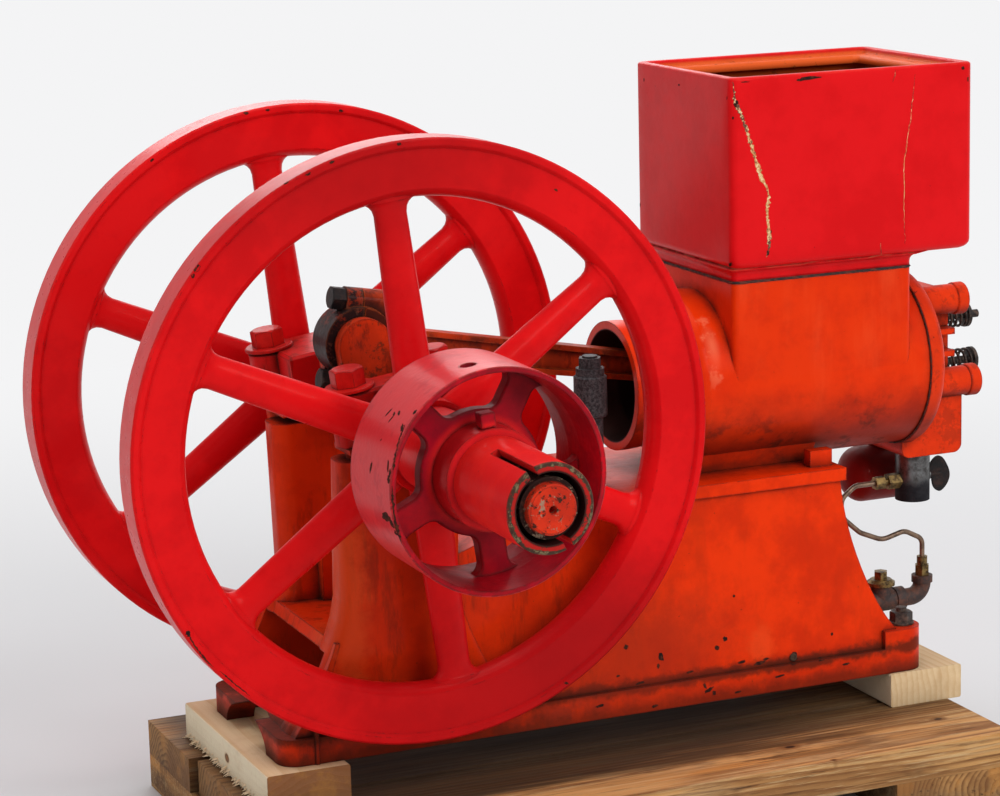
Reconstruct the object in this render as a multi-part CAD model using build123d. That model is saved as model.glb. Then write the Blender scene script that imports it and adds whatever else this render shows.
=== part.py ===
from build123d import *
import math
import os

# A stationary hit-and-miss engine with two spoked flywheels, on the timber stand that carries it.
# X runs from the crankshaft to the cylinder head, Y across the engine with the belt pulley on the
# near side (-Y), and Z up. The engine is drawn with the crankshaft at x = 0, the cylinder's centre
# plane at y = 0 and the underside of its base at z = 0. Everything is exported with the origin on
# the floor, at the middle of the stand's underside.

# Timber stand
LUMBER = 38.0
DECK_BOARD_WIDTH = 150.0
DECK_BOARDS = 3
DECK_GAP = 10.0
DECK_LENGTH = 817.0
DECK_LEFT = -189.0
DECK_NEAR = -251.0
DECK_STEP = 7.0
BEARER_WIDTH = 140.0
BEARERS = 3
BLOCK_WIDTH = 89.0
BLOCK_LEFT_OUT = 22.0
BLOCK_RIGHT_IN = 47.0
BLOCK_LEFT_NEAR = -132.0
BLOCK_RIGHT_NEAR = -122.0
BLOCK_LENGTH = 275.0
BLOCK_EDGE = 2.5

# Base casting
BASE_LEFT = -146.0
BASE_RIGHT = 603.0
BASE_HALF = 118.0
FLANGE_HEIGHT = 28.0
FLANGE_STEP = 6.0
BASE_WALL = 12.0
BASE_TOP = 236.0
TOP_HALF = 104.0
TOP_END = 503.0
TOP_START = 160.0
LEDGE = 14.0
LEDGE_OVER = 5.0
LUG_HEIGHT = 48.0
LUG_LENGTH = 52.0
LUG_WIDTH = 42.0
FOOT_CORNER = 22.0
PEDESTAL_SPREAD = 59.0
PEDESTAL_WAIST = 0.48
FOOT_RIB_X = -107.0
FOOT_RIB = 4.0
ARCH_HALF = 64.0
ARCH_RISE = 32.0
PIT_HALF = 52.0
PIT_FLOOR = 120.0
PIT_END = 215.0
SEAT_LEFT = -73.0
SEAT_RIGHT = 58.0
SEAT_DROP = 22.0
HOLD_DOWN_FROM_END = 18.0
HOLD_DOWN_FROM_LEFT = 34.0
HOLD_DOWN_Y = 94.0
HOLD_DOWN_HOLE = 7.0
HOLD_DOWN_BOLT = 6.3
HOLD_DOWN_HEX = 22.0
HOLD_DOWN_WASHER = 14.0
TOP_LUG_X = 487.0
TOP_LUG_Y = -84.0
TOP_LUG = 27.0
TOP_LUG_TALL = 18.0

# Crankshaft and main bearings
SHAFT_HEIGHT = 330.0
SHAFT_RADIUS = 24.0
RUNNING_FIT = 0.05
BEARING_TILT = 8.0
NEAR_BEARING_PROUD = 3.0
NEAR_BEARING_LENGTH = 46.0
FAR_BEARING_INSET = 34.0
FAR_BEARING_LENGTH = 92.0
FAR_BOLT_OFFSET = 20.0
BEARING_RADIUS = 44.0
CAP_TOP = 56.0
CAP_HALF = 64.0
CAP_EDGE = 3.0
CAP_BOSS = 23.0
CAP_BOLT_SPREAD = 46.0
CAP_BOLT_RADIUS = 9.0
CAP_BOLT_BOSS = 15.0
CAP_BOSS_DROP = 62.0
CAP_WASHER_RADIUS = 26.0
CAP_WASHER = 4.0
CAP_BOLT_HEX = 31.0
CAP_BOLT_HEAD = 18.0
CAP_NUT = 15.0
CAP_NUT_HEX = 28.0
CAP_BOLT_PAST = 6.0
CAP_STUD_DEPTH = 45.0
CAP_JOINT = 0.6

# Flywheels
WHEEL_RADIUS = 305.0
WHEEL_WIDTH = 41.0
RIM_DEPTH = 59.0
RIM_LIP = 8.0
RIM_RECESS = 3.0
RIM_BEAD = 9.0
SPOKES = 6
SPOKE_PHASE = 96.5
SPOKE_WIDE_RIM = 34.0
SPOKE_WIDE_HUB = 42.0
SPOKE_THICK_RIM = 22.0
SPOKE_THICK_HUB = 27.0
SPOKE_FLARE = 14.0
WHEEL_HUB_RADIUS = 48.0
WHEEL_HUB_LENGTH = 62.0
NEAR_HUB_GAP = 6.0
FAR_HUB_GAP = 7.0
FAR_SHAFT_OVER = 22.0

# Belt pulley, its set screw, and the slotted crank sleeve outside it
PULLEY_OFF_HUB = 60.0
PULLEY_WIDTH = 105.0
PULLEY_RADIUS = 110.0
PULLEY_RIM_EDGE = 5.5
PULLEY_RIM_MIDDLE = 9.0
PULLEY_CHAMFER = 1.0
PULLEY_ARMS = 5
PULLEY_PHASE = 62.0
PULLEY_ARM_WIDE = 28.0
PULLEY_WEB = 14.5
WINDOW_INNER = 62.0
WINDOW_OUTER = 103.0
WINDOW_CORNER = 12.0
PULLEY_INNER_HUB = 42.0
PULLEY_OUTER_HUB = 50.0
PULLEY_HUB_INSET = 10.0
OIL_HOLE_RADIUS = 8.0
OIL_HOLE_SETBACK = 29.0
OIL_HOLE_ANGLE = 99.0
SET_SCREW_HEAD = 14.5
SET_SCREW_RADIUS = 6.0
SET_SCREW_TALL = 14.0
SET_SCREW_SETBACK = 19.0
SET_SCREW_ANGLE = 95.0
SLEEVE_LENGTH = 116.0
SLEEVE_RADIUS = 43.0
SLEEVE_BORE = 34.0
SLOT_WIDE = 8.0
SLOT_LENGTH = 83.0
SLOT_ANGLE = 116.0
RING_RADIUS = 29.0
RING_SETBACK = 4.0
SHAFT_PROUD = 5.5
SHAFT_CHAMFER = 2.0
CENTRE_HOLE = 4.0

# Crank throw, connecting rod and piston
THROW = 78.0
CRANK_ANGLE = 98.0
PIN_RADIUS = 22.0
PIN_LENGTH = 44.0
WEB_RADIUS = 29.0
WEB_THICKNESS = 15.0
BIG_END_RADIUS = 38.0
BIG_END_WIDTH = 40.0
ROD_BOLT_SPREAD = 43.0
ROD_BOLT_BOSS = 13.0
ROD_BOSS_LENGTH = 34.0
ROD_CAP_BOSS = 18.0
ROD_BOLT_HEX = 22.0
ROD_BOLT_RADIUS = 6.0
ROD_BOLT_HEAD = 15.0
ROD_LENGTH = 437.0
ROD_DEEP_BIG = 38.0
ROD_DEEP_SMALL = 28.0
ROD_WIDE = 22.0
ROD_WEB = 8.0
ROD_FLANGE = 6.0
SMALL_END_RADIUS = 20.0
WRIST_RADIUS = 11.0
BORE_RADIUS = 51.0
PISTON_GAP = 0.3
PISTON_FORE = 58.0
PISTON_AFT = 52.0
PISTON_CROWN = 12.0
PISTON_WALL = 7.0

# Cylinder casting
MOUTH_X = 280.0
MOUTH_RADIUS = 61.0
MOUTH_LIP = 9.0
THROAT_X = 306.0
JACKET_START = 352.0
JACKET_RADIUS = 97.0
JACKET_END = 620.0
JACKET_WALL = 9.0
LINER_WALL = 9.0
PAD_TOP = 445.0
PAD_LEFT = 380.0
PAD_RIGHT = 596.0
PAD_HALF = 96.5
PAD_CORNER = 7.0
WATER_OPENING = 30.0
SADDLE_LEFT = 356.0
SADDLE_RIGHT = 492.0
SADDLE_HALF = 56.0
SADDLE_FLARE = 10.0
SADDLE_TOP = 264.0

# Water hopper and gasket
GASKET = 3.0
HOPPER_LEFT = 370.0
HOPPER_RIGHT = 661.0
HOPPER_HALF = 114.0
HOPPER_TOP = 664.0
HOPPER_FLOOR = 463.0
HOPPER_UNDER = 10.0
HOPPER_FLARE = 6.0
HOPPER_WALL = 11.0
HOPPER_CORNER = 9.0
HOPPER_RIM = 27.0
HOPPER_RIM_DROP = 16.0

# Cylinder head and valves
HEAD_RADIUS = 100.0
HEAD_THICKNESS = 21.0
HEAD_ROUND = 12.0
BOSS_RADIUS = 16.5
BOSS_COLLAR = 14.0
BOSS_Y = -32.0
UPPER_BOSS_Z = 393.0
UPPER_BOSS_END = 699.0
LOWER_BOSS_Z = 299.0
LOWER_BOSS_END = 716.0
CHEST_NEAR = -24.0
CHEST_FAR = 44.0
CHEST_BOTTOM = 290.0
CHEST_TOP = 402.0
CHEST_END = 686.0
RIB = 7.0
UPPER_RIB_Z = 358.0
LOWER_RIB_Z = 333.0
RIB_END = 684.0
PORT_LEFT = 618.0
PORT_RIGHT = 697.0
PORT_HALF = 36.0
PORT_BOTTOM = 218.0
PORT_CORNER = 20.0
VALVE_Y = 12.0
UPPER_VALVE_Z = 364.0
LOWER_VALVE_Z = 312.0
STEM_RADIUS = 4.5
STEM_END = 746.0
SPRING_RADIUS = 12.0
SPRING_WIRE = 1.6
SPRING_TURNS = 6
RETAINER_RADIUS = 14.0
RETAINER = 4.0
UPPER_RETAINER_X = 728.0
LOWER_RETAINER_X = 736.0

# Mixer, choke and fuel line
MIXER_FROM_HEAD = 14.0
MIXER_Y = 0.0
MIXER_RADIUS = 19.5
MIXER_WALL = 3.0
MIXER_DROP = 57.0
CHOKE_DROP = 31.5
CHOKE_PIN_RADIUS = 3.0
CHOKE_BOSS = 6.0
CHOKE_DISC = 15.8
CHOKE_DISC_THICK = 1.5
CHOKE_LEAF_OUT = 25.5
CHOKE_THICK = 3.0
CHOKE_UP = 20.2
CHOKE_DOWN = 20.8
CHOKE_REACH = 22.7
TUBE_RADIUS = 2.9
FITTING_REACH = 30.0
FUEL_BELOW_CHOKE = 2.5
TUBE_BACK = 93.0
TUBE_BELLY = 67.0
TUBE_BEND = 14.0
TEE_RADIUS = 12.0
TEE_Z = 46.0
TEE_IN = 47.0
TEE_OUT = 39.0
TEE_COLLAR = 12.0
BRANCH_OUT = 11.0
BRANCH_TALL = 19.0
ELBOW_RADIUS = 10.0
ELBOW_OUT = 65.0
ELBOW_BEND = 16.0
ELBOW_TALL = 24.0
PLUG_FLANGE = 16.0
TUBE_NUT_TOP = 46.0

# Oil cup and exhaust pot
CUP_X = 228.0
CUP_Y = -62.0
CUP_RADIUS = 17.6
CUP_BOTTOM = 314.0
CUP_TOP = 358.0
CUP_CAP = 22.0
CUP_STEM = 13.0
POT_RADIUS = 32.0
POT_Y = 72.0
POT_Z = 178.0
POT_LEFT = 604.0
POT_RIGHT = 671.0
POT_PIPE = 14.0

# Worked out from the sizes above
BLOCK_LEFT = BASE_LEFT - BLOCK_LEFT_OUT
BLOCK_RIGHT = BASE_RIGHT - BLOCK_RIGHT_IN
HOLD_DOWN_RIGHT = BASE_RIGHT - HOLD_DOWN_FROM_END
HOLD_DOWN_LEFT = BASE_LEFT + HOLD_DOWN_FROM_LEFT
DECK_TOP = 2 * LUMBER
BASE_Z = DECK_TOP + LUMBER
DECK_WIDTH = DECK_BOARDS * DECK_BOARD_WIDTH + (DECK_BOARDS - 1) * DECK_GAP
STAND_MID_X = DECK_LEFT + DECK_LENGTH / 2
STAND_MID_Y = DECK_NEAR + DECK_WIDTH / 2
AXIS_Z = SHAFT_HEIGHT
PIN_X = THROW * math.cos(math.radians(CRANK_ANGLE))
PIN_Z = AXIS_Z + THROW * math.sin(math.radians(CRANK_ANGLE))
WRIST_X = PIN_X + math.sqrt(ROD_LENGTH ** 2 - (PIN_Z - AXIS_Z) ** 2)
ROD_TILT = math.degrees(math.asin((PIN_Z - AXIS_Z) / ROD_LENGTH))
HEAD_FACE = JACKET_END + HEAD_THICKNESS
SEAT_Z = AXIS_Z - SEAT_DROP
SPLIT_GAP = 1.0
CLEAR = 0.3
NEAR_OUT = -(BASE_HALF + NEAR_BEARING_PROUD)
NEAR_IN = NEAR_OUT + NEAR_BEARING_LENGTH
NEAR_BEARING = NEAR_OUT + NEAR_BEARING_LENGTH / 2
FAR_IN = BASE_HALF - FAR_BEARING_INSET
FAR_OUT = FAR_IN + FAR_BEARING_LENGTH
FAR_BEARING = FAR_IN + FAR_BEARING_LENGTH / 2
NEAR_HUB_FACE = NEAR_OUT - NEAR_HUB_GAP - WHEEL_HUB_LENGTH
NEAR_WHEEL = NEAR_HUB_FACE + WHEEL_HUB_LENGTH / 2
FAR_WHEEL = FAR_OUT + FAR_HUB_GAP + WHEEL_HUB_LENGTH / 2
PULLEY_FAR = NEAR_HUB_FACE - PULLEY_OFF_HUB
PULLEY_NEAR = PULLEY_FAR - PULLEY_WIDTH
PULLEY_MID = PULLEY_NEAR + PULLEY_WIDTH / 2
PULLEY_HUB_FACE = PULLEY_NEAR + PULLEY_HUB_INSET
SLEEVE_END = PULLEY_NEAR - SLEEVE_LENGTH
MIXER_X = HEAD_FACE + MIXER_FROM_HEAD
MIXER_BOTTOM = PORT_BOTTOM - MIXER_DROP
CHOKE_Z = PORT_BOTTOM - CHOKE_DROP
FUEL_Z = CHOKE_Z - FUEL_BELOW_CHOKE
TEE_LEFT = BASE_RIGHT - TEE_IN
TEE_END = BASE_RIGHT + TEE_OUT
BRANCH_X = BASE_RIGHT + BRANCH_OUT
ELBOW_X = BASE_RIGHT + ELBOW_OUT


def along_x(radius, x0, x1, y=0.0, z=0.0):
    return extrude(Plane(origin=(x0, y, z), x_dir=(0, 1, 0), z_dir=(1, 0, 0)) * Circle(radius), x1 - x0)


def along_y(radius, y0, y1, x=0.0, z=0.0):
    return extrude(Plane(origin=(x, y0, z), x_dir=(1, 0, 0), z_dir=(0, 1, 0)) * Circle(radius), y1 - y0)


def along_z(radius, z0, z1, x=0.0, y=0.0):
    return Pos(x, y, z0) * extrude(Circle(radius), z1 - z0)


def block(x0, x1, y0, y1, z0, z1):
    return Pos((x0 + x1) / 2, (y0 + y1) / 2, (z0 + z1) / 2) * Box(x1 - x0, y1 - y0, z1 - z0)


def plate_xz(face, y0, y1):
    """A flat face drawn in x and z, thickened from y0 to y1."""
    return Pos(0, y1, 0) * extrude(Plane.XZ * face, y1 - y0)


def hexagon(across_flats):
    return RegularPolygon(across_flats / 2, 6, major_radius=False)


# Stand


def deck_boards():
    """Three wide boards; the middle one is sawn a little short at the left."""
    boards = []
    for i in range(DECK_BOARDS):
        near = DECK_NEAR + i * (DECK_BOARD_WIDTH + DECK_GAP)
        left = DECK_LEFT + (DECK_STEP if i == 1 else 0.0)
        boards.append(block(left, DECK_LEFT + DECK_LENGTH, near, near + DECK_BOARD_WIDTH, LUMBER, DECK_TOP))
    return Compound(boards)


def bearers():
    """Flat timbers across the stand, under the deck boards."""
    pitch = (DECK_LENGTH - BEARER_WIDTH) / (BEARERS - 1)
    timbers = []
    for i in range(BEARERS):
        left = DECK_LEFT + i * pitch
        timbers.append(block(left, left + BEARER_WIDTH, DECK_NEAR, DECK_NEAR + DECK_WIDTH, 0, LUMBER))
    return Compound(timbers)


def cross_block(left, near):
    """A short piece of sawn lumber that lifts one end of the base off the deck."""
    body = block(left, left + BLOCK_WIDTH, near, near + BLOCK_LENGTH, DECK_TOP, BASE_Z)
    return fillet(body.edges().filter_by(Axis.Y), BLOCK_EDGE)


# Base


def foot_spread(z):
    """How far a bearing column has spread beyond its seat, at a height above the floor of the base."""
    up = (z - FLANGE_HEIGHT) / (SEAT_Z - FLANGE_HEIGHT)
    return PEDESTAL_SPREAD * max(0.0, 1 - up / PEDESTAL_WAIST) ** 1.5


def base_shell():
    """The box of the base: flat top at the cylinder end, low under the crank, concave right end."""
    foot = FLANGE_HEIGHT
    right = Spline((BASE_RIGHT - 14, foot), (BASE_RIGHT - 36, 50), (BASE_RIGHT - 77, 124),
                   (TOP_END + 3, 196), (TOP_END, BASE_TOP - LEDGE))
    low = Spline((TOP_START, BASE_TOP), (TOP_START - 60, BASE_TOP - 24), (0, PIT_FLOOR + 60))
    heights = (PIT_FLOOR, 0.8 * PIT_FLOOR, 0.5 * PIT_FLOOR, foot)
    end = Spline(*[(SEAT_LEFT - foot_spread(z) + 2, z) for z in heights])
    outline = [Line(end @ 1, right @ 0), right, Line(right @ 1, (TOP_END, BASE_TOP)),
               Line((TOP_END, BASE_TOP), low @ 0), low, Line(low @ 1, (SEAT_LEFT / 2, PIT_FLOOR + 60)),
               Line((SEAT_LEFT / 2, PIT_FLOOR + 60), (SEAT_LEFT / 2, PIT_FLOOR)),
               Line((SEAT_LEFT / 2, PIT_FLOOR), end @ 0), end]
    side = plate_xz(make_face(outline), -BASE_HALF, BASE_HALF)
    section = make_face(Polyline((-BASE_HALF + FLANGE_STEP, foot), (BASE_HALF - FLANGE_STEP, foot),
                                 (TOP_HALF, BASE_TOP), (-TOP_HALF, BASE_TOP), close=True))
    return side & extrude(Pos(BASE_LEFT, 0, 0) * (Plane.YZ * section), BASE_RIGHT - BASE_LEFT)


def pedestal(outer, inner):
    """A column that carries one main bearing and spreads into a foot at the bottom."""
    side = 1 if outer > 0 else -1
    edge = side * (BASE_HALF - FLANGE_STEP)
    sections = []
    for up in (0.0, 0.08, 0.16, 0.24, 0.32, 0.4, 0.48, 1.0):
        height = FLANGE_HEIGHT + up * (SEAT_Z - FLANGE_HEIGHT)
        spread = foot_spread(height)
        left = SEAT_LEFT - spread
        right = SEAT_RIGHT + 1.2 * spread
        y_in = side * PIT_HALF + up * (inner - side * PIT_HALF)
        y_out = edge + up * (outer - edge)
        wide = abs(y_out - y_in)
        sections.append(Pos((left + right) / 2, (y_in + y_out) / 2, height)
                        * RectangleRounded(right - left, wide, wide * 0.4))
    return loft(sections, ruled=True)


def bearing_place(y):
    """The bearings are split on a plane that leans away from the cylinder."""
    return Pos(0, y, AXIS_Z) * Rot(0, -BEARING_TILT, 0)


def lower_bearing(centre, length, bolt_shift):
    """The half round housing under the shaft, with the two long bolt bosses."""
    half = length / 2
    barrel = along_y(BEARING_RADIUS, -half, half)
    barrel += block(-CAP_HALF, CAP_HALF, -half, half, -CAP_EDGE * 2, 0)
    for x in (-CAP_BOLT_SPREAD, CAP_BOLT_SPREAD):
        barrel += along_z(CAP_BOLT_BOSS, -CAP_BOSS_DROP, 0, x, bolt_shift)
    barrel &= block(-2 * CAP_HALF, 2 * CAP_HALF, -half, half, -2 * CAP_BOSS_DROP, -CAP_JOINT / 2)
    return bearing_place(centre) * barrel


def bolt_holes(centre, bolt_shift, depth):
    holes = along_z(CAP_BOLT_RADIUS, -depth, 2 * CAP_TOP, -CAP_BOLT_SPREAD, bolt_shift)
    holes += along_z(CAP_BOLT_RADIUS, -depth, 2 * CAP_TOP, CAP_BOLT_SPREAD, bolt_shift)
    return bearing_place(centre) * holes


def base_outline(z0, z1):
    """The base's rounded outline in plan, as tall as asked."""
    outline = RectangleRounded(BASE_RIGHT - BASE_LEFT, 2 * BASE_HALF, FOOT_CORNER)
    return Pos((BASE_LEFT + BASE_RIGHT) / 2, 0, z0) * extrude(outline, z1 - z0)


def base_casting():
    body = base_outline(0, FLANGE_HEIGHT) + base_shell()
    body += block(TOP_START, TOP_END + LEDGE_OVER, -TOP_HALF - LEDGE_OVER, TOP_HALF + LEDGE_OVER,
                  BASE_TOP - LEDGE, BASE_TOP)
    for side in (-1, 1):
        y0, y1 = sorted((side * (BASE_HALF - LUG_WIDTH), side * BASE_HALF))
        lug = block(BASE_RIGHT - LUG_LENGTH, BASE_RIGHT, y0, y1, 0, LUG_HEIGHT)
        body += lug & base_outline(0, LUG_HEIGHT)
        y0, y1 = sorted((side * (BASE_HALF - FOOT_RIB), side * (BASE_HALF + FOOT_RIB / 2)))
        body += block(FOOT_RIB_X - FOOT_RIB, FOOT_RIB_X, y0, y1, 0, FLANGE_HEIGHT + 2 * FOOT_RIB)
    body += block(TOP_LUG_X - TOP_LUG / 2, TOP_LUG_X + TOP_LUG / 2, TOP_LUG_Y - TOP_LUG / 4,
                  TOP_LUG_Y + TOP_LUG / 4, BASE_TOP - LEDGE, BASE_TOP + TOP_LUG_TALL)
    body += pedestal(NEAR_OUT, NEAR_IN)
    body += pedestal(FAR_IN + NEAR_BEARING_LENGTH, FAR_IN)
    inner = make_face(Polyline((BASE_LEFT + 30, -1), (BASE_LEFT + 40, PIT_FLOOR - BASE_WALL),
                               (PIT_END - BASE_WALL, PIT_FLOOR - BASE_WALL),
                               (PIT_END, BASE_TOP - LEDGE), (TOP_END - 15, BASE_TOP - LEDGE),
                               (TOP_END - 8, 150), (BASE_RIGHT - 60, 60), (BASE_RIGHT - 60, -1), close=True))
    body -= plate_xz(inner, -TOP_HALF + BASE_WALL, TOP_HALF - BASE_WALL)
    pit = make_face(Polyline((BASE_LEFT - 20, PIT_FLOOR), (PIT_END - 40, PIT_FLOOR),
                             (PIT_END, PIT_FLOOR + 50), (PIT_END, AXIS_Z + 60), (BASE_LEFT - 20, AXIS_Z + 60),
                             close=True))
    body -= plate_xz(pit, -PIT_HALF, PIT_HALF)
    arch = scale(along_x(ARCH_HALF, BASE_LEFT - 20, BASE_RIGHT + 20), (1, 1, ARCH_RISE / ARCH_HALF))
    body -= arch
    body += lower_bearing(NEAR_BEARING, NEAR_BEARING_LENGTH, 0)
    body += lower_bearing(FAR_BEARING, FAR_BEARING_LENGTH, FAR_BOLT_OFFSET)
    body -= along_y(SHAFT_RADIUS + RUNNING_FIT, NEAR_OUT - 1, FAR_OUT + 1, 0, AXIS_Z)
    body -= bolt_holes(NEAR_BEARING, 0, CAP_STUD_DEPTH)
    body -= bolt_holes(FAR_BEARING, FAR_BOLT_OFFSET, 2 * CAP_BOSS_DROP)
    body -= along_x(TEE_RADIUS, TEE_LEFT - 1, BASE_RIGHT, 0, TEE_Z)
    for x in (HOLD_DOWN_LEFT, HOLD_DOWN_RIGHT):
        for y in (-HOLD_DOWN_Y, HOLD_DOWN_Y):
            body -= along_z(HOLD_DOWN_HOLE, -1, LUG_HEIGHT + 1, x, y)
    return body


def bearing_cap(centre, length, bolt_shift):
    """A flat topped bar over the shaft, with a round boss under each bolt head."""
    half = length / 2
    outline = Rectangle(2 * CAP_BOLT_SPREAD, length)
    for x in (-CAP_BOLT_SPREAD, CAP_BOLT_SPREAD):
        outline += Pos(x, bolt_shift) * Circle(CAP_BOSS)
    cap = Pos(0, 0, CAP_JOINT / 2) * extrude(outline, CAP_TOP - CAP_JOINT / 2)
    cap = bearing_place(centre) * chamfer(cap.faces().sort_by(Axis.Z)[-1].edges(), CAP_EDGE)
    cap -= along_y(SHAFT_RADIUS + RUNNING_FIT, centre - length, centre + length, 0, AXIS_Z)
    return cap - bolt_holes(centre, bolt_shift, CAP_STUD_DEPTH)


def cap_bolts(centre, bolt_shift, has_nut):
    """Bolts with hex heads on round washers; those of the far bearing run through to a nut."""
    bolts = []
    for x in (-CAP_BOLT_SPREAD, CAP_BOLT_SPREAD):
        end = CAP_BOSS_DROP + CAP_NUT + CAP_BOLT_PAST if has_nut else CAP_STUD_DEPTH
        bolt = along_z(CAP_BOLT_RADIUS, -end, CAP_TOP, x, bolt_shift)
        bolt += along_z(CAP_WASHER_RADIUS, CAP_TOP, CAP_TOP + CAP_WASHER, x, bolt_shift)
        bolt += Pos(x, bolt_shift, CAP_TOP + CAP_WASHER) * extrude(hexagon(CAP_BOLT_HEX), CAP_BOLT_HEAD)
        if has_nut:
            bolt += Pos(x, bolt_shift, -CAP_BOSS_DROP - CAP_NUT) * extrude(hexagon(CAP_NUT_HEX), CAP_NUT)
        bolts.append(bearing_place(centre) * bolt)
    return Compound(bolts)


def hold_down_bolt(x, y, top):
    bolt = along_z(HOLD_DOWN_BOLT, 0, top + 16, x, y)
    bolt += along_z(HOLD_DOWN_WASHER, top, top + 3, x, y)
    bolt += Pos(x, y, top + 3) * extrude(hexagon(HOLD_DOWN_HEX), 11)
    return bolt


def hold_down_bolts():
    bolts = []
    for y in (-HOLD_DOWN_Y, HOLD_DOWN_Y):
        bolts.append(hold_down_bolt(HOLD_DOWN_RIGHT, y, LUG_HEIGHT))
    return Compound(bolts)


# Shafts, flywheels and pulley


def shaft(y0, y1):
    return along_y(SHAFT_RADIUS, y0, y1, 0, AXIS_Z)


def rim_profile():
    """Section of a flywheel rim: raised outer lips, recessed side faces, rounded inner bead."""
    half = WHEEL_WIDTH / 2
    outer, inner = WHEEL_RADIUS, WHEEL_RADIUS - RIM_DEPTH
    step = outer - RIM_LIP
    pts = [(outer - 2, -half), (outer, -half + 2), (outer, half - 2), (outer - 2, half), (step, half),
           (step - RIM_RECESS, half - RIM_RECESS), (inner + RIM_BEAD, half - RIM_RECESS)]
    back = [(r, -y) for r, y in reversed(pts[4:])]
    bead = ThreePointArc(pts[-1], (inner, 0), back[0])
    lines = [Line(a, b) for a, b in zip(pts, pts[1:])]
    lines += [bead]
    lines += [Line(a, b) for a, b in zip(back, back[1:])]
    lines += [Line(back[-1], pts[0])]
    return make_face(lines)


def oval(radius, wide, thick):
    place = Plane(origin=(radius, 0, 0), x_dir=(0, 0, 1), z_dir=(1, 0, 0))
    return place * Ellipse(wide / 2, thick / 2)


def spoke(angle):
    """One oval arm of a flywheel: a straight taper, then a rounded flare into the rim."""
    tip = WHEEL_RADIUS - RIM_DEPTH
    start = tip - SPOKE_FLARE
    body = loft([oval(WHEEL_HUB_RADIUS - SPOKE_FLARE, SPOKE_WIDE_HUB, SPOKE_THICK_HUB),
                 oval(start + 1, SPOKE_WIDE_RIM, SPOKE_THICK_RIM)])
    flare = []
    for turn in (0, 25, 45, 62, 76, 86):
        grown = SPOKE_FLARE * (1 - math.cos(math.radians(turn)))
        along = SPOKE_FLARE * math.sin(math.radians(turn))
        flare.append(oval(start + along, SPOKE_WIDE_RIM + 2 * grown, SPOKE_THICK_RIM + 0.3 * grown))
    end = oval(tip + 0.5 * RIM_BEAD, SPOKE_WIDE_RIM + 2.4 * SPOKE_FLARE, SPOKE_THICK_RIM + 0.3 * SPOKE_FLARE)
    body += loft(flare + [end], ruled=True)
    return Rot(0, -angle, 0) * body


def flywheel(centre):
    rim = revolve(rim_profile(), Axis.Y)
    wheel = rim + along_y(WHEEL_HUB_RADIUS, -WHEEL_HUB_LENGTH / 2, WHEEL_HUB_LENGTH / 2)
    for i in range(SPOKES):
        wheel += spoke(SPOKE_PHASE + i * 360 / SPOKES)
    wheel -= along_y(SHAFT_RADIUS, -WHEEL_HUB_LENGTH, WHEEL_HUB_LENGTH)
    return Pos(0, centre, AXIS_Z) * wheel


def pulley_window():
    """One rounded opening between two arms, drawn about the local x axis."""
    half_turn = math.pi / PULLEY_ARMS
    start = PULLEY_ARM_WIDE / 2 / math.sin(half_turn)
    reach = 2 * PULLEY_RADIUS
    far_x = start + reach * math.cos(half_turn)
    far_y = reach * math.sin(half_turn)
    wedge = make_face(Polyline((start, 0), (far_x, far_y), (far_x, -far_y), close=True))
    opening = wedge & (Circle(WINDOW_OUTER) - Circle(WINDOW_INNER))
    opening = fillet(opening.vertices(), WINDOW_CORNER)
    place = Plane(origin=(0, -PULLEY_WEB, 0), x_dir=(1, 0, 0), z_dir=(0, 1, 0))
    return extrude(place * opening, 2 * PULLEY_WEB)


def pulley_rim():
    """A flat tread whose inside is thickest at the middle, where the arms join."""
    half = PULLEY_WIDTH / 2
    edge = PULLEY_RADIUS - PULLEY_RIM_EDGE
    middle = PULLEY_RADIUS - PULLEY_RIM_MIDDLE
    return revolve(make_face(Polyline(
        (edge, -half), (PULLEY_RADIUS - PULLEY_CHAMFER, -half), (PULLEY_RADIUS, -half + PULLEY_CHAMFER),
        (PULLEY_RADIUS, half - PULLEY_CHAMFER), (PULLEY_RADIUS - PULLEY_CHAMFER, half), (edge, half),
        (middle, PULLEY_WEB), (middle, -PULLEY_WEB), close=True)), Axis.Y)


def at_angle(angle, shape):
    """Turns a shape drawn upright over the shaft to its angle round the shaft."""
    return Rot(0, 90 - angle, 0) * shape


def belt_pulley():
    web = along_y(PULLEY_RADIUS - PULLEY_CHAMFER, -PULLEY_WEB / 2, PULLEY_WEB / 2)
    for i in range(PULLEY_ARMS):
        web -= Rot(0, -PULLEY_PHASE - (i + 0.5) * 360 / PULLEY_ARMS, 0) * pulley_window()
    windows = [edge for wire in web.faces().sort_by(Axis.Y)[0].inner_wires() for edge in wire.edges()]
    web = chamfer(windows, 1.5 * PULLEY_CHAMFER)
    pulley = pulley_rim() + web
    pulley += along_y(PULLEY_OUTER_HUB, PULLEY_HUB_FACE - PULLEY_MID, 0)
    pulley += along_y(PULLEY_INNER_HUB, 0, NEAR_HUB_FACE - PULLEY_MID)
    pulley -= along_y(SHAFT_RADIUS, -3 * PULLEY_WIDTH, 3 * PULLEY_WIDTH)
    hole = along_z(OIL_HOLE_RADIUS, PULLEY_RADIUS - 2 * PULLEY_RIM_MIDDLE, PULLEY_RADIUS + 1)
    pulley -= Pos(0, OIL_HOLE_SETBACK - PULLEY_WIDTH / 2, 0) * at_angle(OIL_HOLE_ANGLE, hole)
    tapped = along_z(SET_SCREW_RADIUS, SHAFT_RADIUS - 1, PULLEY_OUTER_HUB + 1)
    pulley -= Pos(0, SET_SCREW_SETBACK - PULLEY_WIDTH / 2, 0) * at_angle(SET_SCREW_ANGLE, tapped)
    return Pos(0, PULLEY_MID, AXIS_Z) * pulley


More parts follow.
